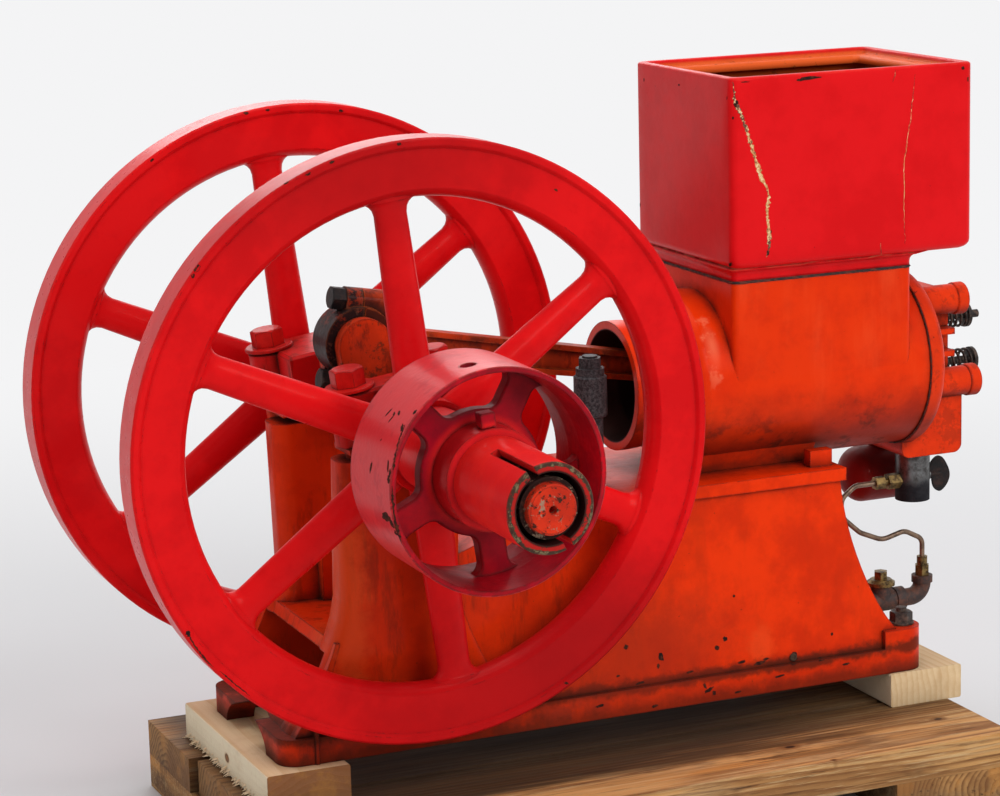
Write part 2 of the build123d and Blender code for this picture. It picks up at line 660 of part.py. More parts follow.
def set_screw():
    """The square headed screw that holds the pulley's hub to the shaft."""
    screw = along_z(SET_SCREW_RADIUS, SHAFT_RADIUS, PULLEY_OUTER_HUB + 1)
    head = Pos(0, 0, PULLEY_OUTER_HUB + 1 + SET_SCREW_TALL / 2) * Box(
        SET_SCREW_HEAD, SET_SCREW_HEAD, SET_SCREW_TALL)
    head = chamfer(head.faces().sort_by(Axis.Z)[-1].edges(), 1)
    return Pos(0, PULLEY_NEAR + SET_SCREW_SETBACK, AXIS_Z) * at_angle(SET_SCREW_ANGLE, screw + head)


def crank_sleeve():
    """The socket that a starting crank fits over: a slotted sleeve on the shaft end."""
    sleeve = along_y(SLEEVE_RADIUS, SLEEVE_END, PULLEY_HUB_FACE)
    sleeve = chamfer(sleeve.edges().sort_by(Axis.Y)[0], 1.5)
    sleeve -= along_y(SLEEVE_BORE, SLEEVE_END - 1, SLEEVE_END + SLOT_LENGTH)
    sleeve -= along_y(SHAFT_RADIUS, SLEEVE_END - 1, PULLEY_HUB_FACE + 1)
    slot = block(-2 * SLEEVE_RADIUS, 2 * SLEEVE_RADIUS, SLEEVE_END - 1, SLEEVE_END + SLOT_LENGTH,
                 -SLOT_WIDE / 2, SLOT_WIDE / 2)
    sleeve -= Rot(0, -SLOT_ANGLE, 0) * slot
    return Pos(0, 0, AXIS_Z) * sleeve


def shaft_ring():
    ring = along_y(RING_RADIUS, SLEEVE_END + RING_SETBACK, SLEEVE_END + SLOT_LENGTH)
    ring -= along_y(SHAFT_RADIUS, SLEEVE_END - 1, PULLEY_NEAR)
    return Pos(0, 0, AXIS_Z) * ring


def near_shaft():
    """The near end of the crankshaft, with the lathe's centre hole in its end face."""
    end = SLEEVE_END - SHAFT_PROUD
    body = shaft(end, NEAR_BEARING)
    body = chamfer(body.edges().sort_by(Axis.Y)[0], SHAFT_CHAMFER)
    return body - along_y(CENTRE_HOLE, end - 1, end + 3 * CENTRE_HOLE, 0, AXIS_Z)


def far_shaft():
    return shaft(FAR_BEARING, FAR_WHEEL + WHEEL_HUB_LENGTH / 2 + FAR_SHAFT_OVER)


# Crank mechanism


def crank_throw():
    """Two round-ended webs, the crank pin and the journals that run into the bearings."""
    crank = along_y(PIN_RADIUS, -PIN_LENGTH / 2 - WEB_THICKNESS, PIN_LENGTH / 2 + WEB_THICKNESS, PIN_X, PIN_Z)
    for side in (-1, 1):
        y0, y1 = sorted((side * PIN_LENGTH / 2, side * (PIN_LENGTH / 2 + WEB_THICKNESS)))
        web = along_y(WEB_RADIUS, y0, y1, 0, AXIS_Z) + along_y(WEB_RADIUS, y0, y1, PIN_X, PIN_Z)
        strap = block(0, THROW, y0, y1, -WEB_RADIUS, WEB_RADIUS)
        crank += web + Pos(0, 0, AXIS_Z) * Rot(0, -CRANK_ANGLE, 0) * strap
    inner = PIN_LENGTH / 2 + WEB_THICKNESS - 1
    crank += shaft(NEAR_BEARING + SPLIT_GAP, -inner)
    crank += shaft(inner, FAR_BEARING - SPLIT_GAP)
    return crank


def rod_place():
    """The rod's own frame: x from the crank pin to the wrist pin."""
    return Pos(PIN_X, 0, PIN_Z) * Rot(0, ROD_TILT, 0)


def rod_bosses(x0, x1):
    half = BIG_END_WIDTH / 2
    bosses = None
    for z in (-ROD_BOLT_SPREAD, ROD_BOLT_SPREAD):
        boss = along_x(ROD_BOLT_BOSS, x0, x1, 0, z)
        boss += block(x0, x1, -ROD_BOLT_BOSS, ROD_BOLT_BOSS, min(z, 0), max(z, 0))
        bosses = boss if bosses is None else bosses + boss
    return bosses


def connecting_rod():
    half = BIG_END_WIDTH / 2
    big = along_y(BIG_END_RADIUS, -half, half) + rod_bosses(0, ROD_BOSS_LENGTH)
    big &= block(CAP_JOINT / 2, 3 * BIG_END_RADIUS, -half, half, -3 * BIG_END_RADIUS, 3 * BIG_END_RADIUS)
    web = make_face(Polyline((20, -ROD_DEEP_BIG / 2), (ROD_LENGTH, -ROD_DEEP_SMALL / 2),
                             (ROD_LENGTH, ROD_DEEP_SMALL / 2), (20, ROD_DEEP_BIG / 2), close=True))
    panel = make_face(Polyline((BIG_END_RADIUS + 14, -ROD_DEEP_BIG / 2 + ROD_FLANGE),
                               (ROD_LENGTH - SMALL_END_RADIUS - 6, -ROD_DEEP_SMALL / 2 + ROD_FLANGE),
                               (ROD_LENGTH - SMALL_END_RADIUS - 6, ROD_DEEP_SMALL / 2 - ROD_FLANGE),
                               (BIG_END_RADIUS + 14, ROD_DEEP_BIG / 2 - ROD_FLANGE), close=True))
    beam = plate_xz(web, -ROD_WIDE / 2, ROD_WIDE / 2)
    beam -= plate_xz(panel, ROD_WEB / 2, ROD_WIDE)
    beam -= plate_xz(panel, -ROD_WIDE, -ROD_WEB / 2)
    rod = big + beam + along_y(SMALL_END_RADIUS, -ROD_WIDE / 2 - 3, ROD_WIDE / 2 + 3, ROD_LENGTH, 0)
    rod -= along_y(PIN_RADIUS + CLEAR, -half - 1, half + 1)
    rod -= along_y(WRIST_RADIUS, -half - 1, half + 1, ROD_LENGTH, 0)
    for z in (-ROD_BOLT_SPREAD, ROD_BOLT_SPREAD):
        rod -= along_x(ROD_BOLT_RADIUS, -1, ROD_BOSS_LENGTH + 1, 0, z)
    return rod_place() * rod


def big_end_cap():
    """The dark strap that closes the big end round the crank pin."""
    half = BIG_END_WIDTH / 2
    cap = along_y(BIG_END_RADIUS, -half, half) + rod_bosses(-ROD_CAP_BOSS, 0)
    cap &= block(-3 * BIG_END_RADIUS, -CAP_JOINT / 2, -half, half, -3 * BIG_END_RADIUS, 3 * BIG_END_RADIUS)
    cap -= along_y(PIN_RADIUS + CLEAR, -half - 1, half + 1)
    for z in (-ROD_BOLT_SPREAD, ROD_BOLT_SPREAD):
        cap -= along_x(ROD_BOLT_RADIUS, -40, 1, 0, z)
        cap -= along_x(ROD_BOLT_BOSS, -60, -ROD_CAP_BOSS, 0, z)
    return rod_place() * cap


def rod_bolts():
    bolts = []
    seat = Plane(origin=(-ROD_CAP_BOSS - ROD_BOLT_HEAD, 0, 0), x_dir=(0, 1, 0), z_dir=(1, 0, 0))
    head = seat * hexagon(ROD_BOLT_HEX)
    for z in (-ROD_BOLT_SPREAD, ROD_BOLT_SPREAD):
        bolt = along_x(ROD_BOLT_RADIUS, -ROD_CAP_BOSS, ROD_BOSS_LENGTH + 12, 0, z)
        bolt += Pos(0, 0, z) * extrude(head, ROD_BOLT_HEAD)
        seat = Plane(origin=(ROD_BOSS_LENGTH, 0, z), x_dir=(0, 1, 0), z_dir=(1, 0, 0))
        bolt += extrude(seat * hexagon(ROD_BOLT_HEX - 2), 9)
        bolts.append(rod_place() * bolt)
    return Compound(bolts)


def piston():
    """An open trunk piston with its crown toward the head."""
    radius = BORE_RADIUS - PISTON_GAP
    fore = WRIST_X + PISTON_FORE
    body = along_x(radius, WRIST_X - PISTON_AFT, fore, 0, AXIS_Z)
    body -= along_x(radius - PISTON_WALL, WRIST_X - PISTON_AFT - 1, fore - PISTON_CROWN, 0, AXIS_Z)
    gap = ROD_WIDE / 2 + 4
    for side in (-1, 1):
        y0, y1 = sorted((side * gap, side * (radius - 3)))
        inside = along_x(radius, WRIST_X - 40, WRIST_X + 40, 0, AXIS_Z)
        body += along_y(WRIST_RADIUS + 7, y0, y1, WRIST_X, AXIS_Z) & inside
    return body - along_y(WRIST_RADIUS, -BORE_RADIUS, BORE_RADIUS, WRIST_X, AXIS_Z)


def wrist_pin():
    half = BORE_RADIUS - 6
    return along_y(WRIST_RADIUS, -half, half, WRIST_X, AXIS_Z)


# Cylinder, hopper and head


def cylinder_outline():
    """Half section of the casting's outside: bell mouth, neck, and the wide water jacket."""
    lip = MOUTH_RADIUS + MOUTH_LIP
    flare = Spline((MOUTH_X + 10, lip), (MOUTH_X + 34, lip - 1), (JACKET_START, JACKET_RADIUS),
                   tangents=((1, 0), (1, 0.2)))
    return [Line((MOUTH_X, 0), (MOUTH_X, lip)), Line((MOUTH_X, lip), flare @ 0), flare,
            Line(flare @ 1, (JACKET_END, JACKET_RADIUS)), Line((JACKET_END, JACKET_RADIUS), (JACKET_END, 0)),
            Line((JACKET_END, 0), (MOUTH_X, 0))]


def on_axis(face):
    """Turns a half section drawn in x and radius into a round body on the cylinder's axis."""
    return Pos(0, 0, AXIS_Z) * revolve(Plane.XZ * face, Axis.X)


def pad_block(z0, z1):
    """The rounded rectangle that jacket, gasket and hopper neck share, as tall as asked."""
    outline = RectangleRounded(PAD_RIGHT - PAD_LEFT, 2 * PAD_HALF, PAD_CORNER)
    return Pos((PAD_LEFT + PAD_RIGHT) / 2, 0, z0) * extrude(outline, z1 - z0)


def cylinder_casting():
    body = on_axis(make_face(cylinder_outline()))
    body += pad_block(AXIS_Z, PAD_TOP)
    middle = (SADDLE_LEFT + SADDLE_RIGHT) / 2
    long = SADDLE_RIGHT - SADDLE_LEFT
    wide = 2 * SADDLE_HALF
    body += loft([Pos(middle, 0, BASE_TOP) * Rectangle(long, wide),
                  Pos(middle, 0, SADDLE_TOP) * Rectangle(long + SADDLE_FLARE, wide + 2 * SADDLE_FLARE)])
    water = on_axis(make_face(Polyline((JACKET_START + 10, BORE_RADIUS + LINER_WALL),
                                       (JACKET_END - 14, BORE_RADIUS + LINER_WALL),
                                       (JACKET_END - 14, JACKET_RADIUS - JACKET_WALL),
                                       (JACKET_START + 16, JACKET_RADIUS - JACKET_WALL), close=True)))
    body -= water
    body -= block(PAD_LEFT + WATER_OPENING, PAD_RIGHT - WATER_OPENING, -PAD_HALF + WATER_OPENING,
                  PAD_HALF - WATER_OPENING, AXIS_Z + BORE_RADIUS + LINER_WALL, PAD_TOP + 1)
    bore = on_axis(make_face(Polyline((MOUTH_X - 1, 0), (MOUTH_X - 1, MOUTH_RADIUS),
                                      (THROAT_X, BORE_RADIUS + 2), (THROAT_X + 6, BORE_RADIUS),
                                      (JACKET_END + 1, BORE_RADIUS), (JACKET_END + 1, 0), close=True)))
    body -= block(MOUTH_X, TOP_END + 2 * LEDGE_OVER, -PAD_HALF, PAD_HALF, BASE_TOP - LEDGE, BASE_TOP)
    return body - bore


def hopper_gasket():
    gasket = pad_block(PAD_TOP, PAD_TOP + GASKET)
    return gasket - block(PAD_LEFT + WATER_OPENING, PAD_RIGHT - WATER_OPENING, -PAD_HALF + WATER_OPENING,
                          PAD_HALF - WATER_OPENING, PAD_TOP - 1, PAD_TOP + GASKET + 1)


def hopper():
    """The open water box: straight walls, a narrower neck below, and an inner rim at the top."""
    bottom = PAD_TOP + GASKET
    mid_x = (PAD_LEFT + PAD_RIGHT) / 2
    box = block(HOPPER_LEFT, HOPPER_RIGHT, -HOPPER_HALF, HOPPER_HALF, HOPPER_FLOOR, HOPPER_TOP)
    box = fillet(box.edges().filter_by(Axis.Z), HOPPER_CORNER)
    box = fillet(box.faces().sort_by(Axis.Z)[0].edges(), HOPPER_UNDER - 2)
    neck = pad_block(bottom, HOPPER_FLOOR + HOPPER_WALL)
    long = PAD_RIGHT - PAD_LEFT
    wide = 2 * PAD_HALF
    flare = loft([Pos(mid_x, 0, HOPPER_FLOOR - HOPPER_FLARE) * RectangleRounded(long, wide, PAD_CORNER),
                  Pos(mid_x, 0, HOPPER_FLOOR + 1)
                  * RectangleRounded(long + HOPPER_FLARE, wide + 2 * HOPPER_FLARE, PAD_CORNER)])
    body = box + neck + flare
    body = chamfer(body.faces().sort_by(Axis.Z)[-1].edges(), 1)
    body -= block(HOPPER_LEFT + HOPPER_WALL, HOPPER_RIGHT - HOPPER_WALL, -HOPPER_HALF + HOPPER_WALL,
                  HOPPER_HALF - HOPPER_WALL, HOPPER_FLOOR + HOPPER_WALL, HOPPER_TOP - HOPPER_RIM_DROP)
    body -= block(HOPPER_LEFT + HOPPER_RIM, HOPPER_RIGHT - HOPPER_RIM, -HOPPER_HALF + HOPPER_RIM,
                  HOPPER_HALF - HOPPER_RIM, HOPPER_TOP - HOPPER_RIM_DROP - 1, HOPPER_TOP + 1)
    body -= block(PAD_LEFT + WATER_OPENING, PAD_RIGHT - WATER_OPENING, -PAD_HALF + WATER_OPENING,
                  PAD_HALF - WATER_OPENING, bottom - 1, HOPPER_FLOOR + HOPPER_WALL + 1)
    return body


def boss(end, z):
    """A round boss on the head with a slightly wider end."""
    body = along_x(BOSS_RADIUS, HEAD_FACE - 1, end - BOSS_COLLAR + 1, BOSS_Y, z)
    collar = along_x(BOSS_RADIUS + 1.5, end - BOSS_COLLAR, end, BOSS_Y, z)
    return body + fillet(collar.edges().filter_by(GeomType.CIRCLE), 2)


def cylinder_head():
    head = along_x(HEAD_RADIUS, JACKET_END, HEAD_FACE, 0, AXIS_Z)
    head = fillet(head.edges().filter_by(GeomType.CIRCLE).sort_by(Axis.X)[-1], HEAD_ROUND)
    head += boss(UPPER_BOSS_END, UPPER_BOSS_Z)
    head += boss(LOWER_BOSS_END, LOWER_BOSS_Z)
    head += block(HEAD_FACE - 1, CHEST_END, CHEST_NEAR, CHEST_FAR, CHEST_BOTTOM, CHEST_TOP)
    for z in (UPPER_RIB_Z, LOWER_RIB_Z):
        head += block(HEAD_FACE - 1, RIB_END, BOSS_Y - 10, CHEST_NEAR + 1, z - RIB / 2, z + RIB / 2)
    port = block(JACKET_END, PORT_RIGHT, -PORT_HALF, PORT_HALF, PORT_BOTTOM, CHEST_BOTTOM + 1)
    port = fillet(port.edges().filter_by(Axis.Y).sort_by(Axis.Z)[:2], PORT_CORNER / 2)
    head += port
    head -= along_z(MIXER_RADIUS - MIXER_WALL, PORT_BOTTOM - 1, PORT_BOTTOM + 40, MIXER_X, MIXER_Y)
    return head


def spring(x0, x1, z):
    """A coil spring on a valve stem."""
    pitch = (x1 - x0) / SPRING_TURNS
    path = Helix(pitch, x1 - x0, SPRING_RADIUS)
    section = Plane(origin=path @ 0, z_dir=path % 0) * Circle(SPRING_WIRE)
    coil = sweep(section, path)
    return Pos(x0, VALVE_Y, z) * Rot(0, 90, 0) * coil


def valve_stem(z):
    return along_x(STEM_RADIUS, CHEST_END, STEM_END, VALVE_Y, z)


def retainer(x, z):
    ring = along_x(RETAINER_RADIUS, x, x + RETAINER, VALVE_Y, z)
    return ring - along_x(STEM_RADIUS, x - 1, x + RETAINER + 1, VALVE_Y, z)


# Mixer, choke and fuel line


def mixer_pipe():
    """The steel air pipe under the head, with the small boss that carries the choke's pin."""
    pipe = along_z(MIXER_RADIUS, MIXER_BOTTOM, PORT_BOTTOM, MIXER_X, MIXER_Y)
    pipe += along_x(CHOKE_BOSS, MIXER_X, MIXER_X + MIXER_RADIUS + 1.5, MIXER_Y, CHOKE_Z)
    pipe -= along_z(MIXER_RADIUS - MIXER_WALL, MIXER_BOTTOM - 1, PORT_BOTTOM + 1, MIXER_X, MIXER_Y)
    hole = CHOKE_PIN_RADIUS + RUNNING_FIT
    return pipe - along_x(hole, MIXER_X, MIXER_X + 2 * MIXER_RADIUS, MIXER_Y, CHOKE_Z)


def choke_handle():
    """The leaf shaped thumb plate, its pin, and the round disc that it turns inside the pipe."""
    hinge = MIXER_X + CHOKE_LEAF_OUT
    reach = CHOKE_REACH
    leaf = Pos(hinge, CHOKE_Z) * make_face(Spline(
        (-2.6, 0), (-2.4, 0.6 * CHOKE_UP), (0.4 * reach, CHOKE_UP), (0.8 * reach, 0.55 * CHOKE_UP),
        (reach, -0.2 * CHOKE_DOWN), (0.7 * reach, -0.83 * CHOKE_DOWN), (0.4 * reach, -CHOKE_DOWN),
        (0.1 * reach, -0.75 * CHOKE_DOWN), periodic=True))
    handle = plate_xz(leaf, MIXER_Y - CHOKE_THICK / 2, MIXER_Y + CHOKE_THICK / 2)
    handle += along_x(CHOKE_PIN_RADIUS, MIXER_X - 0.8 * CHOKE_DISC, hinge + 0.5 * reach, MIXER_Y, CHOKE_Z)
    half = CHOKE_DISC_THICK / 2
    return handle + along_y(CHOKE_DISC, MIXER_Y - half, MIXER_Y + half, MIXER_X, CHOKE_Z)


def fuel_tube():
    """Thin brass tube: it loops back under the mixer and drops to the elbow."""
    start = MIXER_X - MIXER_RADIUS - FITTING_REACH
    bends = [(0.80, 0.0, 1.0), (1.0, 0.21, 1.0), (0.96, 0.54, 1.0), (0.73, 0.82, 1.5), (0.42, 1.0, 1.7),
             (0.11, 0.89, 1.2)]
    points = [(MIXER_X - back * TUBE_BACK, 0, FUEL_Z - down * TUBE_BELLY) for back, down, size in bends]
    points = [(start, 0, FUEL_Z)] + points
    points += [(ELBOW_X, 0, FUEL_Z - 1.07 * TUBE_BELLY), (ELBOW_X, 0, TEE_Z + TUBE_NUT_TOP)]
    radii = [size * TUBE_BEND for back, down, size in bends] + [0.8 * TUBE_BEND]
    path = FilletPolyline(*points, radius=radii)
    section = Plane(origin=path @ 0, z_dir=path % 0) * Circle(TUBE_RADIUS)
    return sweep(section, path)


def hex_along_x(across_flats, x0, x1, z):
    place = Plane(origin=(x0, 0, z), x_dir=(0, 1, 0), z_dir=(1, 0, 0))
    return extrude(place * hexagon(across_flats), x1 - x0)


def mixer_fittings():
    """Two brass hexagons with a neck between them, screwed into the side of the pipe."""
    x1 = MIXER_X - MIXER_RADIUS
    reach = FITTING_REACH
    fitting = hex_along_x(13, x1 - reach, x1 - 0.6 * reach, FUEL_Z)
    fitting += along_x(4.5, x1 - 0.63 * reach, x1 - 0.43 * reach, 0, FUEL_Z)
    fitting += hex_along_x(16, x1 - 0.47 * reach, x1 + 0.2 * reach, FUEL_Z)
    return fitting - along_z(MIXER_RADIUS, MIXER_BOTTOM, PORT_BOTTOM, MIXER_X, MIXER_Y)


def fuel_tee():
    """Iron pipe fittings at the base's end: a tee with its branch up, and an elbow."""
    tee = along_x(TEE_RADIUS, TEE_LEFT, TEE_END, 0, TEE_Z)
    tee += along_x(TEE_RADIUS + 1.5, TEE_END - TEE_COLLAR, TEE_END, 0, TEE_Z)
    tee += along_z(TEE_RADIUS, TEE_Z, TEE_Z + BRANCH_TALL, BRANCH_X, 0)
    path = FilletPolyline((TEE_END - 1, 0, TEE_Z), (ELBOW_X, 0, TEE_Z), (ELBOW_X, 0, TEE_Z + ELBOW_TALL),
                          radius=ELBOW_BEND)
    tee += sweep(Plane(origin=path @ 0, z_dir=path % 0) * Circle(ELBOW_RADIUS), path)
    return tee + along_z(ELBOW_RADIUS + 2, TEE_Z + ELBOW_TALL - 8, TEE_Z + ELBOW_TALL, ELBOW_X, 0)


def brass_plug():
    """The flanged filler plug in the tee's branch."""
    foot = TEE_Z + BRANCH_TALL
    plug = along_z(PLUG_FLANGE, foot, foot + 4, BRANCH_X, 0)
    plug += Pos(BRANCH_X, 0, foot + 4) * extrude(Circle(PLUG_FLANGE - 1), 3, taper=45)
    return plug + Pos(BRANCH_X, 0, foot + 3) * extrude(hexagon(PLUG_FLANGE - 2), 13)


def tube_nut():
    """The brass nut that holds the tube in the elbow."""
    foot = TEE_Z + ELBOW_TALL
    nut = Pos(ELBOW_X, 0, foot) * extrude(hexagon(15), 12)
    return nut + along_z(6, foot + 12, TEE_Z + TUBE_NUT_TOP, ELBOW_X, 0)


def oil_cup():
    """The iron grease cup that stands on a stem beside the crank pit."""
    cup = along_z(CUP_RADIUS, CUP_BOTTOM, CUP_TOP, CUP_X, CUP_Y)
    cup = chamfer(cup.edges().filter_by(GeomType.CIRCLE), 1.5)
    cup += along_z(CUP_STEM, BASE_TOP, CUP_BOTTOM, CUP_X, CUP_Y)
    cup += along_z(CUP_RADIUS - 2.5, CUP_TOP, CUP_TOP + 8, CUP_X, CUP_Y)
    cup += Pos(CUP_X, CUP_Y, CUP_TOP + 8) * extrude(hexagon(CUP_CAP), 11)
    return cup + along_z(CUP_CAP / 2 - 3, CUP_TOP + 19, CUP_TOP + 21, CUP_X, CUP_Y)


def exhaust_pot():
    pot = along_x(POT_RADIUS, POT_LEFT + 24, POT_RIGHT, POT_Y, POT_Z)
    dome = Pos(POT_LEFT + 24, POT_Y, POT_Z) * scale(Sphere(POT_RADIUS), (24 / POT_RADIUS, 1, 1))
    pot += dome
    pot += along_z(POT_PIPE, POT_Z, PORT_BOTTOM + 30, MIXER_X, POT_Y)
    pot += along_y(POT_PIPE, PORT_HALF, POT_Y + POT_PIPE, MIXER_X, PORT_BOTTOM + 30)
    return pot


stand = {
    "deck_boards": deck_boards(),
    "bearers": bearers(),
    "block_left": cross_block(BLOCK_LEFT, BLOCK_LEFT_NEAR),
    "block_right": cross_block(BLOCK_RIGHT, BLOCK_RIGHT_NEAR),
}

engine = {
    "base_casting": base_casting(),
    "hold_down_bolts": hold_down_bolts(),
    "near_bearing_cap": bearing_cap(NEAR_BEARING, NEAR_BEARING_LENGTH, 0),
    "far_bearing_cap": bearing_cap(FAR_BEARING, FAR_BEARING_LENGTH, FAR_BOLT_OFFSET),
    "near_cap_bolts": cap_bolts(NEAR_BEARING, 0, False),
    "far_cap_bolts": cap_bolts(FAR_BEARING, FAR_BOLT_OFFSET, True),
    "near_shaft": near_shaft(),
    "far_shaft": far_shaft(),
    "near_flywheel": flywheel(NEAR_WHEEL),
    "far_flywheel": flywheel(FAR_WHEEL),
    "belt_pulley": belt_pulley(),
    "set_screw": set_screw(),
    "crank_sleeve": crank_sleeve(),
    "shaft_ring": shaft_ring(),
    "crank_throw": crank_throw(),
    "connecting_rod": connecting_rod(),
    "big_end_cap": big_end_cap(),
    "rod_bolts": rod_bolts(),
    "piston": piston(),
    "wrist_pin": wrist_pin(),
    "cylinder_casting": cylinder_casting(),
    "hopper_gasket": hopper_gasket(),
    "hopper": hopper(),
    "cylinder_head": cylinder_head(),
    "upper_valve_stem": valve_stem(UPPER_VALVE_Z),
    "lower_valve_stem": valve_stem(LOWER_VALVE_Z),
    "upper_valve_spring": spring(CHEST_END + SPRING_WIRE, UPPER_RETAINER_X - SPRING_WIRE, UPPER_VALVE_Z),
    "lower_valve_spring": spring(CHEST_END + SPRING_WIRE, LOWER_RETAINER_X - SPRING_WIRE, LOWER_VALVE_Z),
    "upper_retainer": retainer(UPPER_RETAINER_X, UPPER_VALVE_Z),
    "lower_retainer": retainer(LOWER_RETAINER_X, LOWER_VALVE_Z),
    "mixer_pipe": mixer_pipe(),
    "choke_handle": choke_handle(),
    "mixer_fittings": mixer_fittings(),
    "fuel_tube": fuel_tube(),
    "fuel_tee": fuel_tee(),
    "brass_plug": brass_plug(),
    "tube_nut": tube_nut(),
    "oil_cup": oil_cup(),
    "exhaust_pot": exhaust_pot(),
}

os.makedirs("parts", exist_ok=True)
for name, shape in stand.items():
    export_step(Pos(-STAND_MID_X, -STAND_MID_Y, 0) * shape, f"parts/{name}.step")
for name, shape in engine.items():
    export_step(Pos(-STAND_MID_X, -STAND_MID_Y, BASE_Z) * shape, f"parts/{name}.step")
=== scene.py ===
import math
import random
import bpy
from mathutils import Matrix, Vector


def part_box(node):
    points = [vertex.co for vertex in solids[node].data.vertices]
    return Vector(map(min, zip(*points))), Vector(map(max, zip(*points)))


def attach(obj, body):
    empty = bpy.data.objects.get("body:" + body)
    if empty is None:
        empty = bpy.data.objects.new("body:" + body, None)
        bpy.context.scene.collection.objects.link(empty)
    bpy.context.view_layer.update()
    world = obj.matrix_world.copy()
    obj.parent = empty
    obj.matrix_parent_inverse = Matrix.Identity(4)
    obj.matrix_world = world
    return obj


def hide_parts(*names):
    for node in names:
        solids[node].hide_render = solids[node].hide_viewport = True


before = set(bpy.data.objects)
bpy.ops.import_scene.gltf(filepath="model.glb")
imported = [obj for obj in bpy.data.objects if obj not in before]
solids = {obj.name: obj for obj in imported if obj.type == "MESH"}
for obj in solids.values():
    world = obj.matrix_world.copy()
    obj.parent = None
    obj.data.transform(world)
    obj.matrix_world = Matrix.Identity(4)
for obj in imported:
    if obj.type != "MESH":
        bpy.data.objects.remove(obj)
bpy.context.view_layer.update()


# Camera. A portrait lens at chest height, left of the crankshaft and well back, looking a little
# down on the belt pulley's side. Points of the real engine are looked up along its sight lines.
EYE = Vector((-1.2715, -2.842, 1.092))
HEADING = math.radians(22.83)
DIP = math.radians(11.80)
LEAN = math.radians(-1.48)
SENSOR = 36.0
PICTURE = (1000, 796)
FOCAL = 2993.0

ahead = Vector((math.sin(HEADING) * math.cos(DIP), math.cos(HEADING) * math.cos(DIP), -math.sin(DIP)))
level = Vector((math.cos(HEADING), -math.sin(HEADING), 0))
upright = level.cross(ahead)
right = level * math.cos(LEAN) + upright * math.sin(LEAN)
up = upright * math.cos(LEAN) - level * math.sin(LEAN)
lens = bpy.data.cameras.new("portrait_lens")
lens.sensor_width = SENSOR
lens.lens = FOCAL / PICTURE[0] * SENSOR
camera = bpy.data.objects.new("camera", lens)
camera.matrix_world = Matrix((
    (right.x, up.x, -ahead.x, EYE.x),
    (right.y, up.y, -ahead.y, EYE.y),
    (right.z, up.z, -ahead.z, EYE.z),
    (0, 0, 0, 1)))
bpy.context.scene.collection.objects.link(camera)
bpy.context.scene.camera = camera
bpy.context.scene.view_settings.view_transform = "Standard"


# Floor and light. A pale floor under soft studio lamps, with a pale room round it that metal and
# glossy paint reflect. The floor's tone comes from its own colour, so the lamps stay plain.
def sum_of(operation, reflected=False):
    """An operator for sockets: it adds the Math node that works it out."""
    def work(wire, other):
        first, second = (other, wire) if reflected else (wire, other)
        return wire.finish.add("ShaderNodeMath", {"operation": operation}, {0: first, 1: second})
    return work


class Wire:
    """A socket of a finish, which sums can be written with."""

    def __init__(self, finish, socket):
        self.finish = finish
        self.socket = socket

    __add__ = sum_of("ADD")
    __radd__ = sum_of("ADD", reflected=True)
    __sub__ = sum_of("SUBTRACT")
    __rsub__ = sum_of("SUBTRACT", reflected=True)
    __mul__ = sum_of("MULTIPLY")
    __rmul__ = sum_of("MULTIPLY", reflected=True)
    __truediv__ = sum_of("DIVIDE")
    __rtruediv__ = sum_of("DIVIDE", reflected=True)
    __pow__ = sum_of("POWER")
    __gt__ = sum_of("GREATER_THAN")
    __lt__ = sum_of("LESS_THAN")


def tone(red, green, blue):
    """A colour as the eye sees it, 0 to 255, turned into the linear one that a shader takes."""
    def linear(part):
        share = part / 255
        return share / 12.92 if share <= 0.04045 else ((share + 0.055) / 1.055) ** 2.4
    return (linear(red), linear(green), linear(blue), 1.0)


